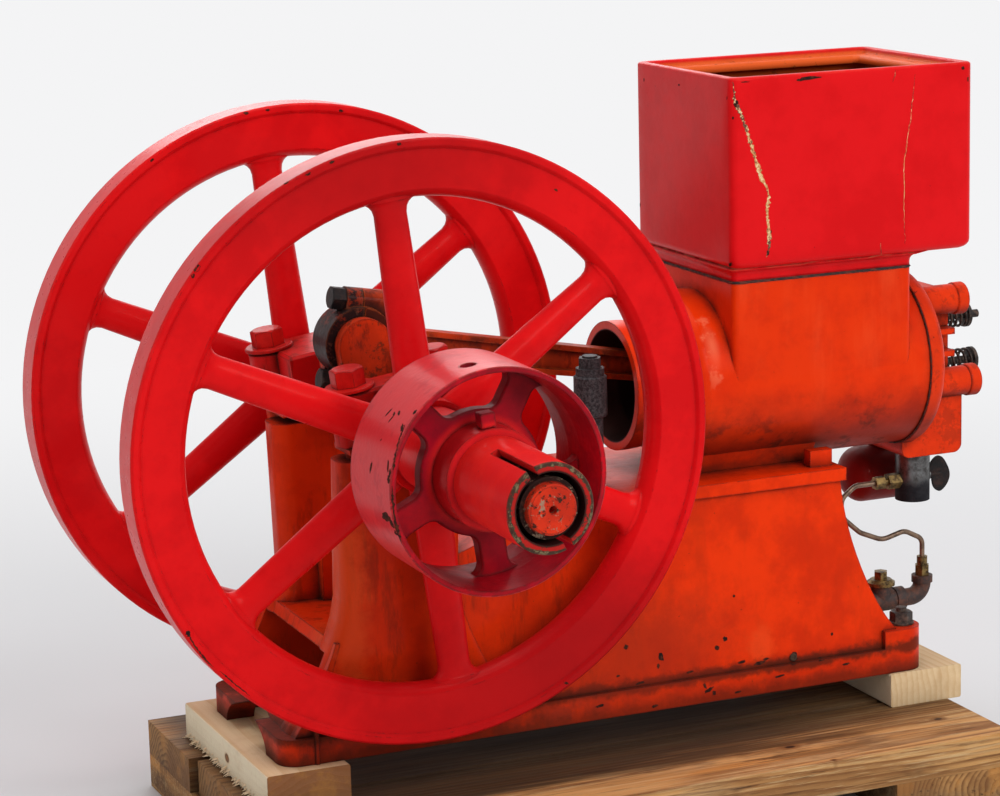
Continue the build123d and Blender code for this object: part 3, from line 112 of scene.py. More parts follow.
class Finish:
    """One finish: the nodes of a material or a room, round the shader that they end in."""

    def __init__(self, owner, shader="Principled BSDF", **fixed):
        owner.use_nodes = True
        self.material = owner
        self.tree = owner.node_tree
        self.shader = self.tree.nodes[shader]
        for socket, value in fixed.items():
            self.shader.inputs[socket.replace("_", " ")].default_value = value

    def add(self, kind, settings=None, sockets=None, out=0):
        node = self.tree.nodes.new(kind)
        for key, value in (settings or {}).items():
            setattr(node, key, value)
        for key, value in (sockets or {}).items():
            if isinstance(value, Wire):
                self.tree.links.new(value.socket, node.inputs[key])
            else:
                node.inputs[key].default_value = value
        return Wire(self, node.outputs[out])

    def vector(self, operation, first, second, out=0):
        return self.add("ShaderNodeVectorMath", {"operation": operation}, {0: first, 1: second}, out)

    def feed(self, socket, wire):
        self.tree.links.new(wire.socket, self.shader.inputs[socket])

    def spot(self):
        """Where on the engine, in metres, at rest."""
        return self.add("ShaderNodeTexCoord", out="Object")

    def split(self, vector):
        node = self.add("ShaderNodeSeparateXYZ", sockets={0: vector}).socket.node
        return [Wire(self, part) for part in node.outputs]

    def xyz(self):
        return self.split(self.spot())

    def facing(self):
        """The direction of the surface, in parts, as the piece has it."""
        return self.split(self.add("ShaderNodeTexCoord", out="Normal"))

    def off_axis(self, centre, along="y"):
        """How far from a level line through a point, along the crankshaft or the cylinder."""
        x, y, z = self.xyz()
        aside = x - centre.x if along == "y" else y - centre.y
        return (aside ** 2 + (z - centre.z) ** 2) ** 0.5

    def noise(self, scale, detail=3.0, rough=0.55, at=None, twist=0.0):
        """Noise of one scale, or drawn out by a scale for each direction."""
        if isinstance(scale, tuple):
            at = self.vector("MULTIPLY", self.spot(), scale)
            scale = 1.0
        return self.add("ShaderNodeTexNoise", None, {
            "Vector": at or self.spot(), "Scale": scale, "Detail": detail, "Roughness": rough,
            "Distortion": twist})

    def rise(self, value, low, high):
        """0 below low, 1 above high, and a soft step between them."""
        return self.add("ShaderNodeMapRange", {"interpolation_type": "SMOOTHSTEP"},
                        {"Value": value, "From Min": low, "From Max": high})

    def cloud(self, low, high, *noise):
        """Patches with soft edges, where the noise is above low."""
        return self.rise(self.noise(*noise), low, high)

    def tint(self, mask, under, over):
        return self.add("ShaderNodeMix", {"data_type": "RGBA"}, {0: mask, 6: under, 7: over}, out=2)

    def rounded(self, radius):
        return self.add("ShaderNodeBevel", {"samples": 2}, {"Radius": radius})

    def hollows(self, reach):
        """1 deep in a corner, where oil and dust stay and shade falls."""
        return 1 - self.add("ShaderNodeAmbientOcclusion", {"samples": 2}, {"Distance": reach}, out="AO")

    def near_point(self, centre, size):
        """1 at a point of the piece, falling to 0 at the size given for each direction."""
        apart = self.vector("SUBTRACT", self.spot(), tuple(centre))
        shares = self.vector("DIVIDE", apart, size)
        return 1 - self.add("ShaderNodeVectorMath", {"operation": "LENGTH"}, {0: shares}, out="Value")

    def bump(self, height, distance, strength=1.0, corner=0.0):
        """Relief on the surface, and corners rounded where a radius is given."""
        sockets = {"Height": height, "Distance": distance, "Strength": strength}
        if corner:
            sockets["Normal"] = self.rounded(corner)
        self.feed("Normal", self.add("ShaderNodeBump", None, sockets))

    def lay(self, mask, colour, rough=None, depth=0.0):
        """Lays one more coat, stain or patch over what is there."""
        self.colour = self.tint(mask, self.colour, colour)
        if rough is not None:
            self.rough = self.rough * (1 - mask) + mask * rough
        if depth:
            self.height = self.height + mask * depth

    def done(self, depth=0.0005, strength=0.6, corner=0.0025):
        self.feed("Base Color", self.colour)
        self.feed("Roughness", self.rough)
        self.bump(self.height, depth, strength, corner)
        return self


def new_piece(name, points, faces, finish, body=None, smooth=True):
    """Makes a piece from its points and faces; without a body it belongs to the studio."""
    mesh = bpy.data.meshes.new(name)
    mesh.from_pydata([tuple(p) for p in points], [], faces)
    mesh.validate()
    mesh.materials.append(finish.material)
    mesh.polygons.foreach_set("use_smooth", [smooth] * len(mesh.polygons))
    mesh.update()
    piece = bpy.data.objects.new(name, mesh)
    bpy.context.scene.collection.objects.link(piece)
    if body:
        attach(piece, body)
    return piece


def new_finish(name, **fixed):
    return Finish(bpy.data.materials.new(name), **fixed)


def seen_shader(finish, seen, unseen):
    """Shows one shader to the camera and to reflections, and lights the engine with the other."""
    path = {}
    for ray in ("Is Camera Ray", "Is Glossy Ray", "Is Transmission Ray"):
        path[ray] = finish.add("ShaderNodeLightPath", out=ray)
    looked_at = finish.add("ShaderNodeMath", {"operation": "ADD", "use_clamp": True}, {
        0: path["Is Camera Ray"] + path["Is Glossy Ray"], 1: path["Is Transmission Ray"]})
    mixed = finish.add("ShaderNodeMixShader", None, {0: looked_at, 1: unseen, 2: seen})
    output = finish.tree.nodes.get("World Output") or finish.tree.nodes["Material Output"]
    finish.tree.links.new(mixed.socket, output.inputs[0])


ROOM_LOOK = tone(240, 240, 241)
room = Finish(bpy.data.worlds.new("studio_room"), "Background", Color=(1.0, 1.0, 1.0, 1.0), Strength=0.36)
bpy.context.scene.world = room.material
seen_shader(room, room.add("ShaderNodeBackground", None, {"Color": ROOM_LOOK, "Strength": 1.0}),
            Wire(room, room.shader.outputs[0]))

FLOOR_HALF = 40.0
FLOOR_LOOK = tone(244, 244, 245)
SHADOW_REACH = (0.6, 2.6)
floor_paint = new_finish("studio_floor", Base_Color=tone(222, 222, 224), Roughness=0.9,
                         Specular_IOR_Level=0.1)
x, y = floor_paint.xyz()[:2]
far_off = floor_paint.rise((x ** 2 + y ** 2) ** 0.5, *SHADOW_REACH)
glow = floor_paint.add("ShaderNodeEmission", None, {"Color": FLOOR_LOOK, "Strength": 1.0})
lit = Wire(floor_paint, floor_paint.shader.outputs[0])
seen_shader(floor_paint, floor_paint.add("ShaderNodeMixShader", None, {0: far_off, 1: lit, 2: glow}), lit)
floor_corners = [(FLOOR_HALF * sx, FLOOR_HALF * sy, 0) for sx, sy in ((-1, -1), (1, -1), (1, 1), (-1, 1))]
floor = new_piece("studio_floor", floor_corners, [(0, 1, 2, 3)], floor_paint)


def softbox(name, place, size, power):
    """A square lamp that looks at the middle of the engine."""
    lamp = bpy.data.lights.new(name, "AREA")
    lamp.size = size
    lamp.energy = power
    holder = bpy.data.objects.new(name, lamp)
    holder.location = place
    aim = Vector((0.0, 0.0, 0.5)) - Vector(place)
    holder.rotation_euler = aim.to_track_quat("-Z", "Y").to_euler()
    bpy.context.scene.collection.objects.link(holder)


softbox("front_softbox", (0.9, -3.6, 2.6), 2.2, 100.0)
softbox("left_softbox", (-3.6, -1.0, 2.0), 2.0, 16.0)
softbox("overhead_softbox", (0.2, 0.4, 3.6), 2.4, 50.0)
softbox("back_softbox", (0.8, 3.6, 2.4), 2.2, 40.0)


# Deck boards and bearers. Three planks of brown, weathered pine framing lumber, 38 mm thick, are
# laid over three flat bearers of the same lumber and nailed down.
DECK_PITCH = 0.160
DECK_EDGE = -0.235
BEARER_PITCH = 0.3385
BEARER_EDGE = -0.44
WOOD_CORNER = 0.002
STAND_BROWN = tone(214, 162, 100)
STAND_ORANGE = tone(234, 164, 86)
STAND_DARK = tone(128, 82, 44)
STAND_GREY = tone(172, 142, 104)


class Timber(Finish):
    """Sawn pine: growth rings round a pith beside the board, cut through by every face."""

    def __init__(self, name, along, early, late, pith, board=0.0, start=0.0, ring=0.0062, figure=0.75):
        super().__init__(bpy.data.materials.new(name), Specular_IOR_Level=0.2)

        def drawn_out(length, width):
            return (length, width, width) if along == "x" else (width, length, width)

        x, y, z = self.xyz()
        across = y if along == "x" else x
        self.at = self.vector("MULTIPLY", self.spot(), drawn_out(1, 9))
        shift = 0.0
        if board:
            index = self.add("ShaderNodeMath", {"operation": "FLOOR"}, {0: (across - start) / board})
            across = across - start - index * board
            offset = self.add("ShaderNodeCombineXYZ", None, {0: index * 3.7, 1: index * 5.3, 2: 0.0})
            self.at = self.vector("ADD", self.at, offset)
            shift = 0.03 * index
        off = across - (pith[0] + shift)
        depth = z - pith[1]
        wander = self.noise(1.3, 3, 0.5, self.at)
        away = (off * off + depth * depth) ** 0.5 + wander * 0.04
        turn = self.add("ShaderNodeMath", {"operation": "FRACT"}, {0: away / ring})
        self.rings = self.rise(turn, 0.25, 0.95) * (1 - self.rise(turn, 0.95, 1.0))
        self.fibre = self.noise(drawn_out(5, 150), 5, 0.7)
        self.streak = self.noise(drawn_out(1.6, 30), 3, 0.6)
        self.colour = self.tint(self.rings * figure + self.rise(self.fibre, 0.35, 0.75) * 0.25, early, late)
        end = self.facing()[0 if along == "x" else 1]
        self.end_grain = self.rise(end * end, 0.5, 0.9)
        self.height = self.rings * 0.35 + self.fibre * 0.65
        self.rough = 0.55 + self.fibre * 0.25


def dress(finish, *names):
    """Gives a finish to solids that already have the shape of the real piece."""
    for name in names:
        for slot in solids[name].material_slots:
            slot.link = "OBJECT"
            slot.material = finish.material


def seen_at(node, across, down):
    """The point of a solid under a point of the picture, and the direction of its surface."""
    ray = ahead + right * ((across - PICTURE[0] / 2) / FOCAL) + up * ((PICTURE[1] / 2 - down) / FOCAL)
    hit, place, normal = solids[node].ray_cast(EYE, ray.normalized())[:3]
    if not hit:
        raise ValueError(f"{node} isn't under {across}, {down}")
    return place, normal


def stain_timber(wood, knots):
    """Brown stain, lighter where it is walked on, darker on the sawn ends and in the cracks, with painted
    shade in the corners.
    """
    sides = 1 - wood.end_grain
    wood.lay(wood.rise(wood.streak, 0.5, 0.62) * 0.7, STAND_ORANGE)
    wood.lay(wood.cloud(0.48, 0.62, 1.1, 5, 0.65, wood.at) * 0.62, STAND_DARK)
    wood.lay(wood.cloud(0.52, 0.66, (6, 26, 26), 4, 0.65) * 0.45, STAND_GREY)
    wood.lay(wood.cloud(0.54, 0.64, (4, 90, 90), 5, 0.75) * sides * 0.6, tone(206, 168, 116))
    raised = wood.noise((9, 280, 280), 4, 0.7)
    wood.lay(wood.rise(raised, 0.55, 0.62) * sides * 0.55, tone(216, 182, 132))
    wood.lay(wood.rise(1 - raised, 0.57, 0.63) * sides * 0.5, tone(92, 58, 32))
    wood.lay(wood.end_grain * 0.2, STAND_DARK)
    split = wood.rise(wood.fibre, 0.62, 0.68)
    wood.lay(split * 0.7, tone(52, 30, 16))
    wood.height = wood.height - split * 0.8
    wood.lay(wood.cloud(0.55, 0.64, (3, 14, 14), 5, 0.7) * 0.5, tone(70, 44, 26))
    for place, size in knots:
        near = wood.near_point(place, size)
        wood.lay(wood.rise(near, 0.0, 0.5) * 0.75, STAND_DARK)
        wood.lay(wood.rise(near, 0.55, 0.8), tone(52, 28, 14))
    # Painted shade: dark in the corners and under what stands on the wood, reaching 9 cm.
    wood.lay(wood.hollows(0.09) * 0.9, tone(26, 18, 14))


deck_wood = Timber("deck_wood", "x", STAND_BROWN, STAND_DARK, (0.03, 0.01), DECK_PITCH, DECK_EDGE)
stain_timber(deck_wood, [(seen_at("deck_boards", 790, 747)[0], (0.018, 0.011, 0.02)),
                         (seen_at("deck_boards", 938, 719)[0], (0.014, 0.009, 0.02)),
                         (seen_at("deck_boards", 834, 760)[0], (0.006, 0.005, 0.02))])
x, y = deck_wood.xyz()[:2]
# Dark under the base's near edge: an oil stain, and painted shade where the engine shadows the deck.
oil_stain_and_shade = deck_wood.rise(y + (deck_wood.streak - 0.5) * 0.22 - x * 0.06, -0.195, -0.145)
oil_stain_and_shade = oil_stain_and_shade * deck_wood.rise(x, -0.44, -0.36)
deck_wood.lay(oil_stain_and_shade * (1 - deck_wood.rise(x, 0.1, 0.45)) * 0.85, tone(46, 32, 24))
deck_wood.lay(oil_stain_and_shade * 0.35, tone(70, 44, 26))
dress(deck_wood.done(0.0006, 0.8, WOOD_CORNER), "deck_boards")
bearer_wood = Timber("bearer_wood", "y", STAND_BROWN, STAND_DARK, (0.1, 0.012), BEARER_PITCH, BEARER_EDGE)
stain_timber(bearer_wood, [])
dress(bearer_wood.done(0.0006, 0.8, WOOD_CORNER), "bearers")


# Blocks. Two short offcuts of fresh pine lift the engine's feet off the deck. Their long left
# faces are rip sawn, and the left one still has the saw's torn fibres along its lower edge.
PALE_EARLY = tone(232, 206, 164)
PALE_LATE = tone(206, 164, 112)
CREAM = tone(252, 240, 210)

pale_wood = Timber("pale_wood", "y", PALE_EARLY, PALE_LATE, (-0.33, 0.02), ring=0.0075, figure=0.35)
face_x, face_y = pale_wood.facing()[:2]
sawn = pale_wood.rise(0 - face_x, 0.5, 0.9)
tear = pale_wood.noise((60, 500, 45), 4, 0.65)
pale_wood.lay(sawn * 0.75, CREAM)
pale_wood.lay(sawn * pale_wood.rise(tear, 0.58, 0.75) * 0.45, PALE_LATE)
pale_wood.height = pale_wood.height + sawn * tear * 2.5
left_end = pale_wood.rise(0 - face_y, 0.5, 0.9) * (pale_wood.xyz()[0] < 0.0)
pale_wood.lay(left_end * 0.9, tone(132, 76, 36))
pale_wood.lay(left_end * pale_wood.cloud(0.45, 0.65, 40.0, 4, 0.7) * 0.6, tone(176, 122, 62))
pale_wood.lay(pale_wood.cloud(0.55, 0.75, 16.0, 4, 0.6) * 0.3, tone(176, 132, 84))
near_knot = pale_wood.near_point(seen_at("block_left", 227, 758)[0], (0.02, 0.0105, 0.0075))
pale_wood.lay(pale_wood.rise(near_knot, 0.0, 0.35) * 0.5, PALE_LATE)
pale_wood.lay(pale_wood.rise(near_knot, 0.3, 0.45) * 0.9, tone(104, 62, 34))
pale_wood.lay(pale_wood.rise(near_knot, 0.6, 0.75) * 0.8, tone(160, 104, 60))
# Painted shade in the blocks' corners and where they meet other parts.
pale_wood.lay(pale_wood.hollows(0.03) * 0.5, tone(96, 64, 40))
dress(pale_wood.done(0.0008, 0.8, WOOD_CORNER), "block_left", "block_right")


def torn_fibres(block, seed):
    """Short curved splinters that stand out of a block's lower left edge."""
    chance = random.Random(seed)
    low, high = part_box(block)
    points = []
    faces = []
    steps = 4
    y = low.y + 0.004
    while y < high.y - 0.004:
        reach = chance.uniform(0.0015, 0.010) * (0.45 + 0.55 * math.sin(y * 90) ** 2)
        width = chance.uniform(0.0006, 0.0024)
        drop = chance.uniform(0.0005, 0.004)
        rise = low.z + chance.uniform(0.001, 0.009)
        lean = chance.uniform(-0.003, 0.003)
        first = len(points)
        for k in range(steps + 1):
            t = k / steps
            half = width * (1 - t) ** 0.7 + 0.0001
            out = low.x + 0.002 - reach * t
            z = max(low.z + 0.0003, rise - drop * t * t)
            points.append((out, y - half + lean * t, z))
            points.append((out, y + half + lean * t, z))
            points.append((out, y + lean * t, z + 0.6 * half + 0.0003))
        for k in range(steps):
            a = first + 3 * k
            for i, j in ((0, 1), (1, 2), (2, 0)):
                faces.append((a + i, a + j, a + 3 + j, a + 3 + i))
        y += chance.uniform(0.0006, 0.0021)
    return points, faces


fibre_wood = new_finish("torn_fibre", Roughness=0.8)
fibre_wood.feed("Base Color", fibre_wood.tint(fibre_wood.noise(300.0), CREAM, PALE_LATE))
fuzz = new_piece("block_left_torn_fibres", *torn_fibres("block_left", 5), fibre_wood, "engine", smooth=False)


# Base. One grey iron casting carries everything: a hollow box with a flange, and two columns for
# the main bearings. It is brush painted orange over older coats, with oil and painted shade in its
# corners, painted shade beside the flywheel and a painted highlight on the near column.
ORANGE = tone(238, 56, 6)
ORANGE_DEEP = tone(204, 42, 8)
BROWN_SOIL = tone(66, 30, 20)
BARE_IRON = tone(48, 36, 32)
RUST = tone(94, 48, 26)


class PaintedIron(Finish):
    """Paint over a sand casting, built up in layers from the bright coat to the dirt."""

    def __init__(self, name, bright, faded, casting=1.0, gloss=0.3):
        super().__init__(bpy.data.materials.new(name), Specular_IOR_Level=0.14,
                         Specular_Tint=(1.0, 0.2, 0.14, 1.0), Coat_Weight=0.05, Coat_Roughness=0.12)
        self.mottle = self.noise(34.0, 4, 0.6)
        broad = self.noise(7.0, 5, 0.6)
        self.colour = self.tint(self.rise(0.35 * self.mottle + 0.65 * broad, 0.42, 0.6) * 0.8, bright, faded)
        self.rough = gloss + self.noise(90.0, 4, 0.6) * 0.25
        self.height = self.noise(170.0, 4, 0.6) * casting + self.noise(900.0, 2, 0.5) * 0.12 * casting

    def soil_and_shade(self, amount, colour=BROWN_SOIL, reach=0.04):
        """Oily dirt and painted shade that fill the corners and fade out over the open faces."""
        grime_and_shade = self.hollows(reach) + (self.noise(22.0, 5, 0.7) - 0.5) * 0.7
        self.lay(self.rise(grime_and_shade, 0.55 - 0.35 * amount, 0.95) * amount, colour, 0.7)

    def crease(self, amount, colour=BROWN_SOIL, reach=0.011):
        """A dark line of dirt and painted shade right in the corner between two faces."""
        grime_and_shade = self.hollows(reach) + (self.mottle - 0.5) * 0.5
        self.lay(self.rise(grime_and_shade, 0.3, 0.62) * amount, colour, 0.75)

    def specks(self, share, colour=BROWN_SOIL):
        """Grit that dried into the paint."""
        cut = 0.78 - 0.1 * share
        self.lay(self.cloud(cut, cut + 0.02, 210.0, 3, 0.6) * 0.8, colour, 0.7, 0.3)

    def wear(self, amount, radius=0.0022, under=BARE_IRON):
        """Corners knocked bare, in short lengths."""
        straight = self.add("ShaderNodeNewGeometry", out="Normal")
        lean = self.vector("DOT_PRODUCT", self.rounded(radius), straight, "Value")
        edges = self.rise(1 - lean, 0.008, 0.08)
        broken = self.cloud(0.62 - 0.22 * amount, 0.66 - 0.2 * amount, 55.0, 5, 0.75)
        self.lay(edges * broken, under, 0.6, -0.5)

    def chips(self, share):
        """Small flakes missing from the open faces."""
        cut = 0.76 - 0.13 * share
        self.lay(self.cloud(cut, cut + 0.012, 60.0, 5, 0.8, None, 0.6), BARE_IRON, 0.7, -1.0)


base_paint = PaintedIron("base_orange_paint", ORANGE, ORANGE_DEEP, gloss=0.28)
x, y, z = base_paint.xyz()
left = 1 - base_paint.rise(x, -0.1, 0.12)
lower = 1 - base_paint.rise(z, 0.12, 0.17)
torn = base_paint.noise(42.0, 5, 0.7)
base_paint.lay(left * 0.3, tone(176, 42, 20), 0.5)
base_paint.lay(left * lower * base_paint.rise(base_paint.mottle, 0.35, 0.6) * 0.7, tone(112, 46, 36), 0.7)
base_paint.lay(left * base_paint.cloud(0.5, 0.66, (44, 44, 9), 5, 0.75) * 0.45, tone(96, 36, 20), 0.6)
base_paint.lay(base_paint.cloud(0.5, 0.72, (16, 16, 5), 5, 0.7) * 0.35, tone(172, 42, 12), 0.5)
patch = base_paint.near_point(seen_at("base_casting", 761, 645)[0], (0.026, 0.05, 0.032))
base_paint.lay(base_paint.rise(patch + (torn - 0.5) * 1.6, 0.15, 0.7) * 0.7, tone(250, 76, 26), 0.3)
# Painted highlight on the rounded corner of the near column.
bright = base_paint.near_point(seen_at("base_casting", 345, 600)[0], (0.035, 0.12, 0.16))
base_paint.lay(base_paint.rise(bright + (torn - 0.5), 0.1, 0.7) * 0.7, tone(232, 84, 36), 0.3)
flange = base_paint.near_point((0.0, -0.16, 0.143), (5.0, 5.0, 0.012))
base_paint.lay(base_paint.rise(flange + (torn - 0.5) * 2.4, 0.1, 0.85) * 0.85, tone(84, 34, 18), 0.7)
skirt = 1 - base_paint.rise(z + (torn - 0.5) * 0.03, 0.116, 0.138)
base_paint.lay(skirt * 0.8, tone(96, 34, 20), 0.6)
# Painted shade: a darker area on the base beside the flywheel.
painted_shade = base_paint.near_point(seen_at("base_casting", 640, 650)[0], (0.2, 0.1, 0.1))
base_paint.lay(base_paint.rise(painted_shade + (torn - 0.5) * 0.8, 0.1, 0.9) * 0.6, tone(146, 40, 22), 0.45)
base_paint.soil_and_shade(0.9)
base_paint.crease(1.0, tone(52, 26, 18), 0.014)
base_paint.specks(0.5)
base_paint.chips(0.35)
base_paint.wear(0.9)
dress(base_paint.done(), "base_casting")


DROP_FROM = 0.006
DROP_REACH = 0.02


def lift(node, point, normal, height):
    """Puts a point on a solid's surface, a hair above it."""
    start = point + normal * DROP_FROM
    hit, place = solids[node].ray_cast(start, -normal)[:2]
    if hit and (place - start).length < DROP_REACH:
        return place + normal * height
    return point + normal * height


def level_side(normal):
    """The direction along a surface that lies level in the picture."""
    return (right - normal * right.dot(normal)).normalized()


MM_PER_METRE = 1000
FLAKE_CORNERS = 16
FLAKE_MIDDLE = 0.0003
FLAKE_EDGE = 0.0001


def flakes(name, node, body, finish, spots, seed):
    """Ragged bare patches: the place of each in the picture, its length and width in mm, its lean."""
    chance = random.Random(seed)
    points = []
    faces = []
    for across, down, long, wide, lean in spots:
        middle, normal = seen_at(node, across, down)
        side = level_side(normal)
        over = normal.cross(side)
        turn = math.radians(lean)
        first = len(points)
        points.append(lift(node, middle, normal, FLAKE_MIDDLE))
        for k in range(FLAKE_CORNERS):
            angle = 2 * math.pi * k / FLAKE_CORNERS
            size = chance.uniform(0.62, 1.0)
            u = math.cos(angle) * (long / 2 / MM_PER_METRE) * size
            v = math.sin(angle) * (wide / 2 / MM_PER_METRE) * size
            place = middle + side * (u * math.cos(turn) - v * math.sin(turn))
            place += over * (u * math.sin(turn) + v * math.cos(turn))
            points.append(lift(node, place, normal, FLAKE_EDGE))
            faces.append((first, first + 1 + k, first + 1 + (k + 1) % FLAKE_CORNERS))
    return new_piece(name, points, faces, finish, body, smooth=False)


class DirtyMetal(Finish):
    """Bare metal that grease, soot or rust clouds from one tone to another."""

    def __init__(self, name, cloud, spread, clean, soiled, rough=None, **fixed):
        super().__init__(bpy.data.materials.new(name), **fixed)
        self.film = self.noise(*cloud)
        self.feed("Base Color", self.tint(self.rise(self.film, *spread), clean, soiled))
        if rough:
            self.feed("Roughness", rough[0] + self.film * rough[1])


chipped_iron = DirtyMetal("chipped_iron", (260.0, 4, 0.7), (0.4, 0.66), tone(34, 22, 20), tone(92, 44, 28),
                          Roughness=0.8, Specular_IOR_Level=0.08)
chipped_iron.bump(chipped_iron.noise(700.0, 3, 0.7), 0.0004)
base_chips = flakes("base_bare_patches", "base_casting", "engine", chipped_iron, [
    (661, 657, 7, 12, 20), (658, 666, 4, 7, 0), (717, 648, 7, 6, 0), (725, 639, 6, 7, 20),
    (734, 596, 4, 4, 10), (709, 690, 14, 5, 25), (705, 686, 4, 8, 25), (714, 693, 5, 6, 25),
    (760, 663, 18, 5, 12), (766, 659, 9, 3, 12), (626, 647, 6, 6, 50), (618, 676, 5, 3, 0),
    (655, 706, 9, 4, 8), (832, 634, 4, 4, 0), (794, 657, 10, 13, 0), (793, 664, 7, 7, 0),
    (742, 662, 12, 4, 12), (690, 672, 10, 3, 10), (640, 683, 12, 3, 9), (822, 660, 10, 3, 8),
    (738, 692, 9, 3, 8), (780, 676, 14, 3, 8), (846, 664, 12, 3, 8), (600, 706, 12, 4, 8)], 11)


# Base plug. A small pipe plug, screwed into a tapped hole low on the near side of the base, that
# lets the oil out. It is painted over and ringed with dirt.
SIDES = 36
THREAD_SIDES = 24


def joined(rows, count, first=0, closed=False):
    """The faces between rows of points, where every row is a ring of the same count."""
    faces = []
    for i in range(rows if closed else rows - 1):
        here = first + i * count
        there = first + (i + 1) % rows * count
        for k in range(count):
            n = (k + 1) % count
            faces.append((here + k, here + n, there + n, there + k))
    return faces


class Turning:
    """Points and faces of bolts, nuts and plugs. Each part is closed, and turned round an axis."""

    def __init__(self):
        self.points = []
        self.faces = []

    def add(self, place, rows):
        """Joins rows of points, each a radius and a height at every angle, into one solid."""
        first = len(self.points)
        count = len(rows[0])
        for row in rows:
            for k, (radius, height) in enumerate(row):
                angle = 2 * math.pi * k / count
                point = Vector((radius * math.cos(angle), radius * math.sin(angle), height))
                self.points.append(place @ point)
        self.faces += joined(len(rows), count, first)
        last = len(self.points) - count
        self.faces.append(tuple(first + k for k in reversed(range(count))))
        self.faces.append(tuple(last + k for k in range(count)))

    def round(self, place, *profile):
        self.add(place, [[(radius, height)] * SIDES for height, radius in profile])

    def hexagon(self, place, flats, low, high, upper=True, under=False):
        """A hexagon whose corners are turned off at 30 degrees at one end or both."""
        crown = 0.47 * flats
        radii = []
        for k in range(SIDES):
            off_flat = math.radians((k * 360 / SIDES + 30) % 60 - 30)
            radii.append(flats / 2 / math.cos(off_flat))
        drops = [(radius - crown) * math.tan(math.radians(30)) for radius in radii]
        rows = [[(radius, low + drop * under) for radius, drop in zip(radii, drops)],
                [(radius, high - drop * upper) for radius, drop in zip(radii, drops)]]
        if under:
            rows.insert(0, [(crown, low)] * SIDES)
        if upper:
            rows.append([(crown, high)] * SIDES)
        self.add(place, rows)

    def thread(self, place, radius, low, high, pitch):
        """A real helical thread: the crest runs round and up the stud."""
        steps = max(4, int((high - low) / pitch * 4))
        rows = []
        for i in range(steps + 1):
            height = low + (high - low) * i / steps
            row = []
            for k in range(THREAD_SIDES):
                phase = (height / pitch - k / THREAD_SIDES) % 1.0
                depth = pitch * 0.6 if i == steps else pitch * 0.5 * abs(2 * phase - 1)
                row.append((radius - depth, height))
            rows.append(row)
        self.add(place, rows)


middle, normal = seen_at("base_casting", 793, 657)
plug_place = Matrix.Translation(middle) @ normal.to_track_quat("Z", "Y").to_matrix().to_4x4()
plug_shape = Turning()
plug_shape.round(plug_place, (-0.002, 0.0042), (0.0012, 0.0042), (0.0018, 0.0036), (0.0018, 0.0024),
                 (0.0008, 0.0020))
soiled_plug = new_finish("soiled_plug", Roughness=0.7, Specular_IOR_Level=0.1)
plug_dirt = soiled_plug.tint(soiled_plug.noise(400.0), tone(40, 28, 24), tone(92, 74, 60))
soiled_plug.feed("Base Color", plug_dirt)
plug = new_piece("base_drain_plug", plug_shape.points, plug_shape.faces, soiled_plug, "engine", smooth=False)


# Hold-down bolts. Studs through the base's end lugs, with thick round washers and hexagon nuts,
# all gone dark with old oil.
LUG_HEIGHT = 0.048
STUD_RADIUS = 0.0063
STUD_IN = 0.014
oily_steel = DirtyMetal("oily_steel", (120.0, 5, 0.7), (0.4, 0.66), tone(46, 38, 36), tone(104, 84, 72),
                        (0.35, 0.4), Metallic=0.55)
oily_steel.bump(oily_steel.noise(500.0, 4, 0.7), 0.0003, 0.7, 0.0008)
low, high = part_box("hold_down_bolts")
lug_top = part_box("base_casting")[0].z + LUG_HEIGHT
stud_shape = Turning()
for y in (low.y + STUD_IN, high.y - STUD_IN):
    place = Matrix.Translation(((low.x + high.x) / 2, y, lug_top))
    stud_shape.round(place, (-0.046, STUD_RADIUS), (0.0, STUD_RADIUS))
    stud_shape.round(place, (0.0, 0.0135), (0.0004, 0.014), (0.0024, 0.014), (0.003, 0.0132))
    stud_shape.hexagon(place, 0.022, 0.003, 0.014)
    stud_shape.thread(place, STUD_RADIUS, 0.0135, 0.0185, 0.0016)
studs = new_piece("hold_down_studs", stud_shape.points, stud_shape.faces, oily_steel, "engine", smooth=False)
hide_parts("hold_down_bolts")


# Main bearing caps. Cast iron bars over the crankshaft, each with a round boss for a bolt at
# either end, painted red with the wheels and streaked with grease.
cap_paint = PaintedIron("cap_red_paint", tone(214, 18, 22), tone(176, 26, 18))
cap_paint.lay(cap_paint.cloud(0.5, 0.66, (60, 60, 12), 5, 0.7) * 0.7, tone(96, 26, 18), 0.5)
cap_paint.soil_and_shade(1.0, tone(54, 20, 18), 0.05)
cap_paint.crease(1.0, tone(40, 18, 16))
cap_paint.wear(0.9)
dress(cap_paint.done(), "near_bearing_cap", "far_bearing_cap")


# Cap bolts. Long bolts with hexagon heads on thick round washers hold the caps; those of the far
# bearing run through and have nuts below. They were painted with the caps.
BOLT_SPREAD = 0.046
CAP_BOLT_RADIUS = 0.009
WASHER_RADIUS = 0.026
WASHER_TOP = 0.060
CAP_TOP = 0.056
NUT_TOP = -0.062
BEARING_LEAN = math.radians(-8)
bolt_paint = PaintedIron("bolt_red_paint", tone(222, 34, 28), tone(158, 12, 16), gloss=0.35)
bolt_paint.soil_and_shade(0.5, tone(60, 22, 18), 0.02)
bolt_paint.wear(0.9, 0.0015)
bolt_paint.done()
low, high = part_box("near_shaft")
axis = Vector(((low.x + high.x) / 2, 0, (low.z + high.z) / 2))


